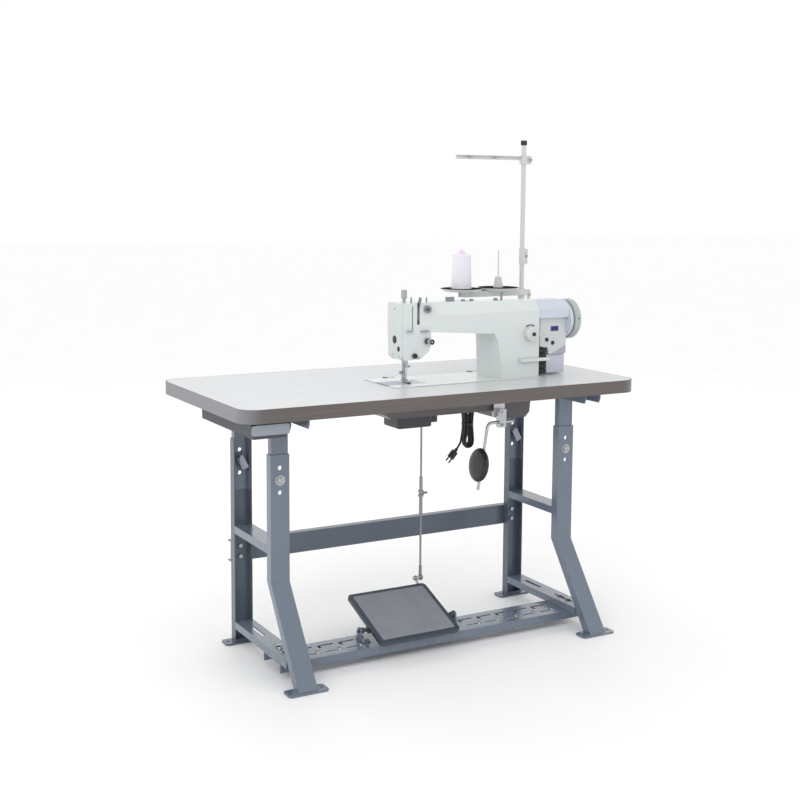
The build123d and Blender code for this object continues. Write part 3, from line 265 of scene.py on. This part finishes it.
slate = painted("slate_powder_coat", linear(101, 113, 128), 0.26, 0.04, 0.04, 0.6)
# painted shade: the rear legs and rear crossbar carry the same slate powder coat as the front legs, darkened
# here to stand in for the shade under the table
slate_painted_shade = painted("slate_powder_coat_painted_shade", linear(86, 96, 109), 0.30, 0.05)
pedal_slate = painted("pedal_powder_coat", linear(52, 63, 74), 0.42, 0.3)
enamel = painted("white_enamel", linear(213, 219, 218), 0.22, 0.06, 0.02, 0.4)
pale_face = painted("face_plate_enamel", linear(211, 218, 218), 0.30, 0.06, 0.02)
pole_paint = painted("pole_enamel", linear(206, 207, 205), 0.35, 0.08, 0.03)
plate_grey = painted("slide_plate_satin", linear(160, 164, 178), 0.50, 0.05, 0.03)
pan_paint = painted("oil_pan_hammered", linear(80, 76, 76), 0.42, 0.8, 0.08)
black_paint = painted("black_enamel", linear(34, 34, 36), 0.35, 0.1, 0.1)
zinc = bare_metal("zinc_plate", linear(172, 174, 176), 0.22, (1, 1, 1), 0.1, 0.12)
rod_steel = bare_metal("drawn_rod", linear(140, 142, 143), 0.24, (20, 20, 1), 0.15)
chrome = bare_metal("polished_chrome", linear(184, 186, 190), 0.14, (1, 1, 1), 0.03, 0.04)
ground_steel = bare_metal("ground_steel", linear(170, 172, 176), 0.28, (40, 1, 1), 0.2)
dark_chrome = bare_metal("dark_chrome", linear(140, 144, 152), 0.16, (1, 1, 1), 0.05, 0.08)
lilac = moulded("lilac_moulding", linear(196, 201, 214), 0.35, 0.15, 0.02)
core_pink = moulded("cone_core", linear(232, 210, 229), 0.40, 0.15, 0.02)
panel_white = moulded("panel_moulding", linear(205, 208, 210), 0.35, 0.15, 0.02)
panel_grey = moulded("panel_trim", linear(168, 173, 181), 0.40, 0.2, 0.03)
motor_grey = moulded("motor_casing", linear(202, 208, 218), 0.35, 0.15, 0.02)
wheel_green = moulded("handwheel_grey_green", linear(176, 183, 183), 0.38, 0.2, 0.03)
dial_white = moulded("dial_white", linear(212, 214, 212), 0.35, 0.15, 0.02)
black_plastic = moulded("black_plastic", linear(30, 30, 32), 0.42, 0.35, 0.12)
black_rubber = moulded("black_rubber", linear(34, 34, 37), 0.28, 0.06, 0.10, 900)
cord_sheath = moulded("cord_sheath", linear(28, 28, 30), 0.48, 0.3, 0.12, 700)
dark_lilac = moulded("speed_unit_plastic", linear(66, 63, 70), 0.42, 0.35, 0.06)
tray_grey = moulded("drawer_tray_plastic", linear(72, 74, 80), 0.50, 0.4, 0.06)
drawer_grey = moulded("drawer_front_plastic", linear(140, 146, 155), 0.42, 0.25, 0.03)
table_laminate, band = laminate("table_laminate"), edging("table_edging")
mat_grey = mat_rubber("treadle_mat_rubber")
thread_white, felt_black = wound_thread("wound_thread"), felt("felt_pad")
display = display_glass("display_window")

finishes = {
    slate: "front_leg_left front_leg_right leg_braces pedal_rail pedal_brackets inner_posts top_channels",
    slate_painted_shade: "rear_leg_left rear_leg_right rear_crossbar",
    pedal_slate: "pedal_plate",
    mat_grey: "pedal_mat",
    zinc: "pedal_hook",
    dark_chrome: "speed_lever take_up_lever thread_guides",
    rod_steel: "lower_rod upper_rod",
    table_laminate: "table_board",
    band: "edge_band",
    tray_grey: "drawer_tray drawer_runners",
    drawer_grey: "drawer_front",
    pan_paint: "oil_pan",
    dark_lilac: "speed_unit",
    black_plastic: "power_box power_plug reverse_button speed_up_button speed_down_button",
    pole_paint: "thread_pole spool_rail spool_holders guide_arm",
    thread_white: "thread_cone",
    black_paint: "bed_hinges",
    enamel: "bed_casting arm_casting reverse_lever",
    pale_face: "face_plate",
    plate_grey: "slide_plate",
    ground_steel: "needle_plate main_shaft hook_shaft presser_bar pressure_knob",
    chrome: "needle_bar tension_knob knee_bracket knee_rod",
    motor_grey: "motor_housing",
    panel_white: "control_panel",
    black_rubber: "timing_belt",
}
for finish, names in finishes.items():
    for name in names.split():
        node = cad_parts[name]
        node.data.materials.clear()
        node.data.materials.append(finish)


# ---------------------------------------------------------------- piece makers
def place(name, mesh, finish, body, smooth=math.radians(35)):
    """Makes a mesh into a piece that rides on a body."""
    for face in mesh.polygons:
        face.use_smooth = True
    mesh.set_sharp_from_angle(angle=smooth)
    mesh.materials.append(finish)
    piece = bpy.data.objects.new(name, mesh)
    bpy.context.collection.objects.link(piece)
    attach(piece, body)
    return piece


def lathe(name, profile, centre, axis, finish, body, steps=72, ripple=None):
    """A turned piece: profile is (radius, height along axis) round a closed section, in millimetres.

    ripple(angle, radius) may change a radius, for knurls and scallops.
    """
    axis = Vector(axis).normalized()
    turn = axis.to_track_quat("Z", "Y").to_matrix()
    shape = bmesh.new()
    rings = []
    for step in range(steps):
        angle = 2 * math.pi * step / steps
        ring = []
        for radius, height in profile:
            radius = ripple(angle, radius) if ripple else radius
            local = Vector((radius * math.cos(angle), radius * math.sin(angle), height)) / 1000
            ring.append(shape.verts.new(Vector(centre) + turn @ local))
        rings.append(ring)
    count = len(profile)
    for here, after in zip(rings, rings[1:] + rings[:1]):
        for i in range(count):
            j = (i + 1) % count
            shape.faces.new((here[i], after[i], after[j], here[j]))
    bmesh.ops.remove_doubles(shape, verts=shape.verts, dist=1e-6)
    bmesh.ops.recalc_face_normals(shape, faces=shape.faces)
    mesh = bpy.data.meshes.new(name)
    shape.to_mesh(mesh)
    shape.free()
    return place(name, mesh, finish, body)


def plate(name, outline, normal_from, normal_to, plane, finish, body, bevel=0.0):
    """An outline in millimetres, pushed through along the axis that plane leaves out."""
    order = {"xz": (0, 2, 1), "yz": (1, 2, 0), "xy": (0, 1, 2)}[plane]
    shape = bmesh.new()
    layers = []
    for depth in (normal_from, normal_to):
        layer = []
        for first, second in outline:
            point = [0.0, 0.0, 0.0]
            point[order[0]], point[order[1]], point[order[2]] = first / 1000, second / 1000, depth / 1000
            layer.append(shape.verts.new(point))
        layers.append(layer)
    shape.faces.new(layers[0])
    shape.faces.new(layers[1])
    count = len(outline)
    for i in range(count):
        j = (i + 1) % count
        shape.faces.new((layers[0][i], layers[0][j], layers[1][j], layers[1][i]))
    bmesh.ops.recalc_face_normals(shape, faces=shape.faces)
    if bevel:
        bmesh.ops.bevel(
            shape, geom=shape.edges[:], offset=bevel / 1000, segments=3, profile=0.5, affect="EDGES"
        )
    mesh = bpy.data.meshes.new(name)
    shape.to_mesh(mesh)
    shape.free()
    return place(name, mesh, finish, body)


def rectangle(a0, a1, b0, b1):
    """The four corners of an upright rectangle."""
    return [(a0, b0), (a1, b0), (a1, b1), (a0, b1)]


def hexagon_ripple(flat):
    """Turns a round profile into a hexagon of that half width across flats, in millimetres."""
    def ripple(angle, radius):
        if radius < flat * 0.6:
            return radius
        return radius / math.cos((angle % (math.pi / 3)) - math.pi / 6) * math.cos(math.pi / 6)
    return ripple


def hex_bolt(name, foot, axis, size, height, finish, body):
    """A bevelled hexagon head or nut, standing on foot, with its washer face and domed middle."""
    profile = [
        (0.0, 0.0), (size, 0.0), (size, height - 1.0), (size * 0.86, height),
        (size * 0.45, height), (size * 0.40, height + 0.6), (0.0, height + 0.6),
    ]
    return lathe(name, profile, foot, axis, finish, body, 36, hexagon_ripple(size))


def washer(name, foot, axis, outer, inner, height, finish, body):
    """A flat washer with softened edges, standing on foot."""
    profile = [
        (inner, 0.0), (outer, 0.0), (outer, height * 0.7), (outer - 0.5, height),
        (inner + 0.3, height), (inner, height * 0.7),
    ]
    return lathe(name, profile, foot, axis, finish, body, 48)


# ---------------------------------------------------------------- mains lead
# The lead leaves the gland, turns into a tied hank and ends in the plug.  The route repeats
# the CAD's: gland, hank and tail, with the hank's turns as points of the same curve.
cord_x, cord_y = 0.264, 0.0925
gland_z = 0.617
route = [
    (cord_x, cord_y, gland_z),
    (cord_x, cord_y + 0.0010, 0.6125),
    (cord_x, cord_y + 0.0045, 0.6095),
    (cord_x, cord_y + 0.0095, 0.6075),
    (cord_x, cord_y + 0.0138, 0.6035),
    (cord_x, cord_y + 0.0152, 0.5970),
    (cord_x - 0.002, cord_y + 0.0145, 0.5740),
    (cord_x - 0.004, cord_y + 0.0135, 0.5520),
    (cord_x - 0.006, cord_y + 0.0112, 0.5320),
]
# one turn of the hank, as (across, height, share of the turn done), for the inner and outer coils
inner_turn = [
    (-0.0093, 0.4985, 0.00), (-0.0066, 0.4915, 0.07), (0.0, 0.4885, 0.14), (0.0066, 0.4915, 0.21),
    (0.0093, 0.4985, 0.28), (0.0072, 0.5250, 0.36), (0.0049, 0.5520, 0.44), (0.0065, 0.5720, 0.51),
    (0.0093, 0.5840, 0.57), (0.0066, 0.5906, 0.63), (0.0, 0.5933, 0.68), (-0.0066, 0.5906, 0.73),
    (-0.0093, 0.5840, 0.79), (-0.0065, 0.5720, 0.85), (-0.0049, 0.5520, 0.91), (-0.0072, 0.5250, 0.96),
]
outer_turn = [
    (-0.0155, 0.5030, 0.00), (-0.0125, 0.4880, 0.07), (0.0, 0.4815, 0.14), (0.0125, 0.4880, 0.21),
    (0.0155, 0.5030, 0.28), (0.0130, 0.5280, 0.36), (0.0112, 0.5520, 0.44), (0.0130, 0.5730, 0.51),
    (0.0152, 0.5855, 0.57), (0.0118, 0.5955, 0.63), (0.0, 0.5997, 0.68), (-0.0118, 0.5955, 0.73),
    (-0.0152, 0.5855, 0.79), (-0.0130, 0.5730, 0.85), (-0.0112, 0.5520, 0.91), (-0.0130, 0.5280, 0.96),
]
layer, depth = 0.0062, 0.0086
for turn in range(3):
    for across, height, share in inner_turn:
        route.append((cord_x + across, cord_y + depth - layer * (turn + share), height))
for turn in range(3):
    # each outer turn hangs a little differently from the one before it
    drop = (0.0, -0.0015, 0.0010)[turn]
    for across, height, share in outer_turn:
        low_end = drop if height < 0.5 else 0.0
        route.append((cord_x + across, cord_y + depth + layer * (turn + share - 3), height + low_end))
route += [
    (cord_x - 0.0168, cord_y + 0.0086, 0.5060),
    (cord_x - 0.0200, cord_y + 0.0060, 0.4965),
    (cord_x - 0.0270, cord_y + 0.0030, 0.4895),
    (cord_x - 0.0370, cord_y, 0.4790),
]

curve = bpy.data.curves.new("mains_lead", "CURVE")
curve.dimensions = "3D"
curve.bevel_depth = 0.003
curve.bevel_resolution = 6
curve.resolution_u = 8
curve.use_fill_caps = True
spline = curve.splines.new("NURBS")
spline.points.add(len(route) - 1)
for point, position in zip(spline.points, route):
    point.co = (*position, 1.0)
spline.order_u = 3
spline.use_endpoint_u = True
curve.materials.append(cord_sheath)
lead = bpy.data.objects.new("mains_lead", curve)
bpy.context.collection.objects.link(lead)
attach(lead, "table")
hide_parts("power_cord", "cord_hank")


tie = lathe(
    "lead_tie", [(16.2, -4.0), (17.6, -3.4), (18.0, 0.0), (17.6, 3.4), (16.2, 4.0), (16.6, 0.0)],
    (cord_x, cord_y + 0.0015, 0.552), (0, 0, 1), black_plastic, "table", 48,
)

# ---------------------------------------------------------------- stand: bolts
LEG_X = 0.447
front_web_y = -0.1455
rear_web_y = 0.1275
height_bolt_z = 0.502
rail_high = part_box("pedal_rail")[1]
brace_top = 0.062
bolt_owner = None
for side, x in (("left", -LEG_X), ("right", LEG_X)):
    owner = washer(
        f"height_washer_front_{side}", (x, front_web_y, height_bolt_z), (0, -1, 0),
        14, 4.2, 2, zinc, "stand",
    )
    bolt_owner = bolt_owner or owner
    hex_bolt(
        f"height_bolt_front_{side}", (x, front_web_y - 0.002, height_bolt_z), (0, -1, 0),
        9, 5.4, zinc, "stand",
    )
    washer(
        f"height_washer_rear_{side}", (x, rear_web_y, height_bolt_z), (0, 1, 0),
        12, 4.2, 2, zinc, "stand",
    )
    hex_bolt(
        f"height_bolt_rear_{side}", (x, rear_web_y + 0.002, height_bolt_z), (0, 1, 0),
        8, 4.4, zinc, "stand",
    )
    lathe(
        f"height_stud_{side}", [(0, 0), (4, 0), (4, 19), (3.2, 20), (0, 20)],
        (x, rear_web_y - 0.022, height_bolt_z), (0, 1, 0), zinc, "stand", 24,
    )
    # plate nut inside the rear leg, set at a slant
    lean = math.radians(28)
    corners = []
    for across, along in ((-10, -17), (-7, -20), (7, -20), (10, -17), (10, 17), (7, 20), (-7, 20), (-10, 17)):
        corners.append((
            x * 1000 + across * math.cos(lean) - along * math.sin(lean),
            height_bolt_z * 1000 + across * math.sin(lean) + along * math.cos(lean),
        ))
    plate(
        f"height_plate_nut_{side}", corners, rear_web_y * 1000 - 27, rear_web_y * 1000 - 21.5, "xz",
        dark_chrome, "stand", 0.8,
    )
    for row, z in enumerate((0.237, 0.267)):
        hex_bolt(
            f"crossbar_nut_{side}_{row}", (x, rear_web_y - 0.0025, z), (0, -1, 0),
            7, 5.4, zinc, "stand",
        )
        hex_bolt(
            f"crossbar_bolt_{side}_{row}", (x, rear_web_y + 0.0027, z), (0, 1, 0),
            7, 5.4, zinc, "stand",
        )
    for row, y in enumerate((-0.1695, -0.1295)):
        hex_bolt(
            f"rail_bolt_{side}_{row}", (x, y, brace_top), (0, 0, 1), 8, 5.4, zinc, "stand",
        )
        hex_bolt(
            f"rail_nut_{side}_{row}", (x, y, rail_high.z - 0.0025), (0, 0, -1), 7, 5.4, zinc, "stand",
        )
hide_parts("frame_bolts")

# ---------------------------------------------------------------- knee pad
knee_lean = math.atan2(0.178 - 0.148, 0.598 - 0.414)
pad_z = 0.482
pad_x = 0.148 + (pad_z - 0.414) * math.tan(knee_lean)  # on the rod, which leans to the left going down
pad_centre = Vector((pad_x, -0.1475, pad_z))
pad_axis = Vector((-math.cos(knee_lean), 0, math.sin(knee_lean)))
dome = [(0, 5.0), (40, 5.0), (45.5, 6.5), (47, 9.0), (46.2, 11.2)]
for step in range(1, 9):
    angle = step / 8 * math.pi / 2
    dome.append((45.5 * math.cos(angle), 11.8 + 7.6 * math.sin(angle)))
pad = lathe("knee_pad_dome", dome, pad_centre, pad_axis, black_rubber, "knee_lifter", 72)
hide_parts("knee_pad")
lathe(
    "knee_pad_clip",
    [(0, -5.2), (10.5, -5.2), (12.5, -3.5), (12.5, 4.6), (5.2, 4.8), (5.2, -4.0), (0, -4.6)],
    pad_centre, pad_axis, zinc, "knee_lifter", 40,
)
hex_bolt("knee_pad_screw", pad_centre - pad_axis * 0.0052, -pad_axis, 6.5, 4.5, zinc, "knee_lifter")
bracket_low, bracket_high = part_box("knee_bracket")
for index, x in enumerate((0.204, 0.240)):
    hex_bolt(
        f"knee_bracket_screw_{index}", (x, bracket_low.y + 0.010, bracket_high.z - 0.004), (0, 0, -1),
        5, 3, zinc, "table",
    )

# ---------------------------------------------------------------- thread stand
pole_x, pole_y = 0.543, 0.2275
cap = [(0, 0), (9.5, 0), (9.7, 1.5), (9.7, 13), (8.6, 15.6), (0, 16.04)]
lathe("pole_cap", cap, (pole_x, pole_y, 1.380), (0, 0, 1), black_plastic, "table", 48)
disc_seat = 943.0
felt_profile = [(2.6, 0.05), (2.6, 0.32), (63.0, 0.32), (63.4, 0.05)]
for side, x in (("left", 0.321), ("right", 0.455)):
    profile = felt_profile if side == "left" else [(max(r, 16.2), h) for r, h in felt_profile]
    lathe(
        f"spool_felt_{side}", profile, (x, pole_y, disc_seat / 1000), (0, 0, 1),
        felt_black, "table", 72,
    )
cone_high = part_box("thread_cone")[1]
lathe(
    "cone_tube",
    [(2.6, 0), (20.0, 0), (19.0, 1.2), (13.0, 3.4), (10.5, 5.0), (9.6, 8.6), (8.6, 9.6), (2.6, 9.6)],
    (0.321, pole_y, cone_high.z - 0.0004), (0, 0, 1), core_pink, "spool", 48,
)
for index, x in enumerate((0.345, 0.437)):
    lathe(
        f"eyelet_ring_{index}", [(4.9, -0.6), (7.0, -0.8), (7.6, 0.6), (7.0, 3.3), (4.9, 3.1), (4.4, 1.2)],
        (x, pole_y - 0.015, 1.3340), (0, 0, 1), chrome, "thread_arm", 40,
    )
for name, dx, dy, z, size, body in (
    ("arm_clamp_screw", 0.019, -0.012, 1.335, 5, "thread_arm"),
    ("rail_clamp_screw", 0.021, -0.013, 0.918, 6, "table"),
    ("coupling_screw", 0.0125, -0.006, 1.038, 4.5, "table"),
):
    hex_bolt(name, (pole_x + dx, pole_y + dy, z), (0, -1, 0), size, 3, zinc, body)
for index, (dx, dy) in enumerate(((-22, -22), (22, -22), (22, 22), (-22, 22))):
    hex_bolt(
        f"pole_foot_screw_{index}", (pole_x + dx / 1000, pole_y + dy / 1000, 0.714), (0, 0, 1),
        4, 2.4, zinc, "table",
    )

# ---------------------------------------------------------------- head: face, tension, guides
face_x, head_front_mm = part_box("face_plate")[0].x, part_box("face_plate")[0].y * 1000
for index, (y, z, r) in enumerate(((-63.5, 834.7, 11.0), (-85.5, 811.0, 7.2))):
    lathe(
        f"face_plug_{index}", [(0, 0), (r, 0), (r, 0.9), (r - 0.8, 1.3), (0, 1.4)],
        (face_x + 0.0004, y / 1000, z / 1000), (-1, 0, 0), black_rubber, "head", 40,
    )
for index, (y, z) in enumerate(((-64.5, 918.0), (-55.5, 795.0), (-88.5, 791.0))):
    hex_bolt(
        f"face_screw_{index}", (face_x, y / 1000, z / 1000), (-1, 0, 0), 2.6, 1.2, chrome, "head",
    )
for label, x, z in (("upper", 6.0, 917.0), ("lower", 8.0, 830.0)):
    coil = bpy.data.curves.new(f"{label}_tension_spring", "CURVE")
    coil.dimensions = "3D"
    coil.bevel_depth = 0.0006
    coil.bevel_resolution = 3
    turns = coil.splines.new("NURBS")
    steps = 60
    turns.points.add(steps)
    for step in range(steps + 1):
        angle = step / 12 * 2 * math.pi
        along = head_front_mm - 7.0 - 4.0 * step / steps
        turns.points[step].co = (
            (x + 5.2 * math.cos(angle)) / 1000, along / 1000, (z + 5.2 * math.sin(angle)) / 1000, 1.0,
        )
    turns.order_u = 3
    turns.use_endpoint_u = True
    coil.materials.append(chrome)
    spring = bpy.data.objects.new(f"{label}_tension_spring", coil)
    bpy.context.collection.objects.link(spring)
    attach(spring, "head" if label == "upper" else "tension")


def knurl(count, depth, inner):
    """A ripple that cuts fine flutes into everything outside the inner radius."""
    def ripple(angle, radius):
        return radius - depth * (0.5 + 0.5 * math.cos(count * angle)) if radius > inner else radius
    return ripple


lathe(
    "tension_nut",
    [(0, 0), (7.2, 0), (8.0, 1.0), (8.0, 13.5), (7.0, 15.0), (3.0, 15.0), (2.6, 14.2), (0, 14.2)],
    (0.008, head_front_mm / 1000 - 0.011, 0.830), (0, -1, 0),
    chrome, "tension", 96, knurl(24, 0.5, 6),
)
lathe(
    "pressure_nut", [(0, 0), (7.4, 0), (8.0, 1.0), (8.0, 22.0), (7.0, 24.02), (0, 24.02)],
    (-0.027, -0.0345, 0.942), (0, 0, 1), ground_steel, "pressure", 96, knurl(24, 0.5, 6),
)
# wire guides that lead the thread down the head
for index, points in enumerate((
    [(-57, -4, 859), (-60, -9, 860), (-55, -13, 860), (-47, -12, 859), (-42, -6, 859), (-41, -1, 859)],
    [(-14, -1, 857), (-13, -10, 857), (-4, -14, 858), (6, -12, 857), (11, -6, 857), (12, -1, 857)],
    [(-33, -1, 776), (-34, -8, 774), (-27, -12, 772), (-20, -9, 774), (-21, -1, 777)],
)):
    wire = bpy.data.curves.new(f"wire_guide_{index}", "CURVE")
    wire.dimensions = "3D"
    wire.bevel_depth = 0.0011
    wire.bevel_resolution = 4
    bends = wire.splines.new("NURBS")
    bends.points.add(len(points) - 1)
    for point, (x, forward, z) in zip(bends.points, points):
        point.co = (x / 1000, (head_front_mm + forward) / 1000, (z if z > 800 else z + 12) / 1000, 1.0)
    bends.order_u = 3
    bends.use_endpoint_u = True
    wire.materials.append(chrome)
    piece = bpy.data.objects.new(f"wire_guide_{index}", wire)
    bpy.context.collection.objects.link(piece)
    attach(piece, "head")
# dark throats of the two slots in the front of the head
for index, (x0, x1, z0, z1) in enumerate(((-39.6, -37.4, 863, 927), (-23.6, -22.4, 878, 931))):
    plate(
        f"slot_shadow_{index}", rectangle(x0, x1, z0, z1), head_front_mm + 4, head_front_mm + 6, "xz",
        black_plastic, "head",
    )

# ---------------------------------------------------------------- head: stitch dial
dial_x, dial_z = 0.346, 0.835
dial = lathe(
    "dial_knob",
    [(0, 0.4), (19.5, 0.4), (20.8, 1.6), (21.0, 3.0), (21.0, 16.0), (20.0, 18.6), (17.5, 19.8), (6.5, 20.0),
     (6.0, 19.6), (0, 19.6)],
    (dial_x, head_front_mm / 1000, dial_z), (0, -1, 0), dial_white, "dial", 144, knurl(36, 0.5, 18),
)
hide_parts("stitch_dial")
lathe(
    "dial_centre", [(0, 0), (5.6, 0), (5.6, 2.6), (4.8, 3.2), (0, 3.2)],
    (dial_x, head_front_mm / 1000 - 0.0196, dial_z), (0, -1, 0), black_plastic, "dial", 48,
)
for tick in range(12):
    angle = 2 * math.pi * tick / 12
    middle_x, middle_z = dial_x * 1000 + 13.5 * math.cos(angle), dial_z * 1000 + 13.5 * math.sin(angle)
    along = (math.cos(angle) * 1.8, math.sin(angle) * 1.8)
    across = (-math.sin(angle) * 0.35, math.cos(angle) * 0.35)
    outline = [
        (middle_x - along[0] - across[0], middle_z - along[1] - across[1]),
        (middle_x + along[0] - across[0], middle_z + along[1] - across[1]),
        (middle_x + along[0] + across[0], middle_z + along[1] + across[1]),
        (middle_x - along[0] + across[0], middle_z - along[1] + across[1]),
    ]
    plate(
        f"dial_tick_{tick}", outline, head_front_mm - 20.10, head_front_mm - 19.6, "xz",
        black_plastic, "dial",
    )
arc = []
for step in range(17):
    angle = math.radians(55 + 70 * step / 16)
    arc.append((dial_x * 1000 + 26.5 * math.cos(angle), dial_z * 1000 + 26.5 * math.sin(angle)))
for step in range(16, -1, -1):
    angle = math.radians(55 + 70 * step / 16)
    arc.append((dial_x * 1000 + 23.5 * math.cos(angle), dial_z * 1000 + 23.5 * math.sin(angle)))
plate("dial_arc", arc, head_front_mm - 0.4, head_front_mm + 0.4, "xz", black_plastic, "head")

# ---------------------------------------------------------------- head: control panel and motor
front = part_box("control_panel")[0].y * 1000
plate(
    "panel_display", rectangle(430, 456, 837.5, 851), front - 0.4, front + 0.4, "xz",
    display, "head", 0.2,
)
plate(
    "panel_display_frame",
    [(428.5, 836), (457.5, 836), (457.5, 852.5), (428.5, 852.5)], front - 0.2, front + 0.2, "xz",
    panel_grey, "head",
)
plate(
    "panel_corner", [(432, 771), (483, 771), (483, 795), (476, 791)], front - 0.25, front + 0.4, "xz",
    panel_grey, "head",
)
for index, (x, z) in enumerate(((416, 813), (437, 803))):
    washer(
        f"panel_ring_{index}", (x / 1000, front / 1000, z / 1000), (0, -1, 0),
        7.0, 5.6, 0.5, panel_grey, "head",
    )
box_low, box_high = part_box("control_box")
split = 418.0
motor_box = plate(
    "drive_box", rectangle(split + 0.4, 484, 714, 769.5), -81.5, box_high.y * 1000 - 1, "xz",
    lilac, "head", 4,
)
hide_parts("control_box")
for rib in range(5):
    z = 716 + rib * 15
    plate(
        f"motor_bracket_rib_{rib}", rectangle(378.4, split, z, z + 11.5),
        box_low.y * 1000 + 0.5 + (rib % 2), box_high.y * 1000, "xz", black_plastic, "head", 1,
    )
plate(
    "motor_bracket_core", rectangle(378.4, split, 715.5, 789),
    box_low.y * 1000 + 6, box_high.y * 1000 - 2, "xz", black_plastic, "head",
)
shaft = Vector((0, -0.0515, 0.868))
lathe(
    "motor_seam", [(51.5, 0), (53.6, 0.3), (53.6, 2.2), (51.5, 2.5)],
    (0.4845, shaft.y, shaft.z), (1, 0, 0), panel_grey, "head", 96,
)
plate(
    "motor_band",
    [(-94.6, 897.5), (-94.6, 904), (-78, 926.4), (-77.4, 925.6), (-94.1, 903.4)],
    379, 483, "yz", panel_grey, "head",
)
wheel_low, wheel_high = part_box("handwheel")
drawn_wheel_width = 0.026  # the profile below is drawn at this width and fitted to the CAD wheel
wheel_scale = (wheel_high.x - wheel_low.x) / drawn_wheel_width
wheel = lathe(
    "handwheel_rim",
    [(r, h * wheel_scale) for r, h in (
        (7.1, 1.5), (16, 1.5), (17, 9), (46, 9), (48, 1.0), (53, 0.0), (57, 1.2), (58, 4.5), (57.2, 6.8),
        (57.2, 8.6), (58, 10.5), (58, 22), (56.5, 25), (52, 26), (48, 25), (46.5, 17.5), (20, 17.5),
        (17, 24.5), (7.1, 24.5),
    )],
    (wheel_low.x, shaft.y, shaft.z), (1, 0, 0), wheel_green, "drive", 120,
)
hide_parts("handwheel")
lathe(
    "handwheel_hub_screw", [(0, 0), (9, 0), (9, 2.6), (8, 3.4), (3, 3.4), (2.6, 1.6), (0, 1.6)],
    (wheel_low.x + 0.0245 * wheel_scale, shaft.y, shaft.z), (1, 0, 0), chrome, "drive", 48,
)
lathe(
    "handwheel_mark", [(0, 0), (2.4, 0), (2.4, 0.5), (0, 0.6)],
    (wheel_low.x + 0.013 * wheel_scale, shaft.y - 0.0577, shaft.z + 0.0045), (0, -1, 0.08),
    black_plastic, "drive", 24,
)

# ---------------------------------------------------------------- bed: feed teeth and screws
for index, y in enumerate((-60.5, -42.5)):
    teeth = []
    for tooth in range(6):
        x = -32.4 + tooth * 1.9
        teeth += [(x, 711.2), (x + 1.2, 712.0)]
    teeth += [(-21.2, 711.2), (-21.2, 708.5), (-32.4, 708.5)]
    plate(f"feed_teeth_{index}", teeth, y - 1.1, y + 1.1, "xz", ground_steel, "head")
for index, (x, y) in enumerate(((12, -68), (12, -18))):
    lathe(
        f"plate_screw_{index}", [(0, 0), (3.4, 0), (3.4, 0.25), (2.8, 0.4), (0, 0.4)],
        (x / 1000, y / 1000, 0.712), (0, 0, 1), ground_steel, "head", 32,
    )

# ---------------------------------------------------------------- studio
def area_light(name, place_at, aim, size, power):
    """A soft square light aimed at a point."""
    data = bpy.data.lights.new(name, "AREA")
    data.shape = "SQUARE"
    data.size = size
    data.energy = power
    light = bpy.data.objects.new(name, data)
    light.location = place_at
    light.rotation_mode = "QUATERNION"
    light.rotation_quaternion = (Vector(aim) - Vector(place_at)).to_track_quat("-Z", "Y")
    bpy.context.collection.objects.link(light)


area_light("key", (-3.2, -2.6, 3.4), (0.1, 0, 0.6), 2.2, 34)
area_light("back", (0.6, 3.2, 3.0), (0.1, 0, 0.8), 2.4, 14)

sky = bpy.data.worlds.new("studio")
sky.use_nodes = True
sky.node_tree.nodes["Background"].inputs["Color"].default_value = (1, 1, 1, 1)
sky.node_tree.nodes["Background"].inputs["Strength"].default_value = 1.0
bpy.context.scene.world = sky
bpy.context.scene.view_settings.view_transform = "Standard"

floor_finish = Surface("studio_floor", 0.6)
floor_finish.colour(
    floor_finish.ramp(floor_finish.noise(3, 3), [(0.3, (0.97, 0.97, 0.97, 1)), (0.7, (0.99, 0.99, 0.99, 1))])
)
floor_finish.bump(floor_finish.noise(200, 2), 0.02, 0.0005)
floor_mesh = bpy.data.meshes.new("studio_floor")
floor_mesh.from_pydata([(-30, -30, 0), (30, -30, 0), (30, 30, 0), (-30, 30, 0)], [], [(0, 1, 2, 3)])
floor_mesh.materials.append(floor_finish.material)
floor = bpy.data.objects.new("studio_floor", floor_mesh)
bpy.context.collection.objects.link(floor)
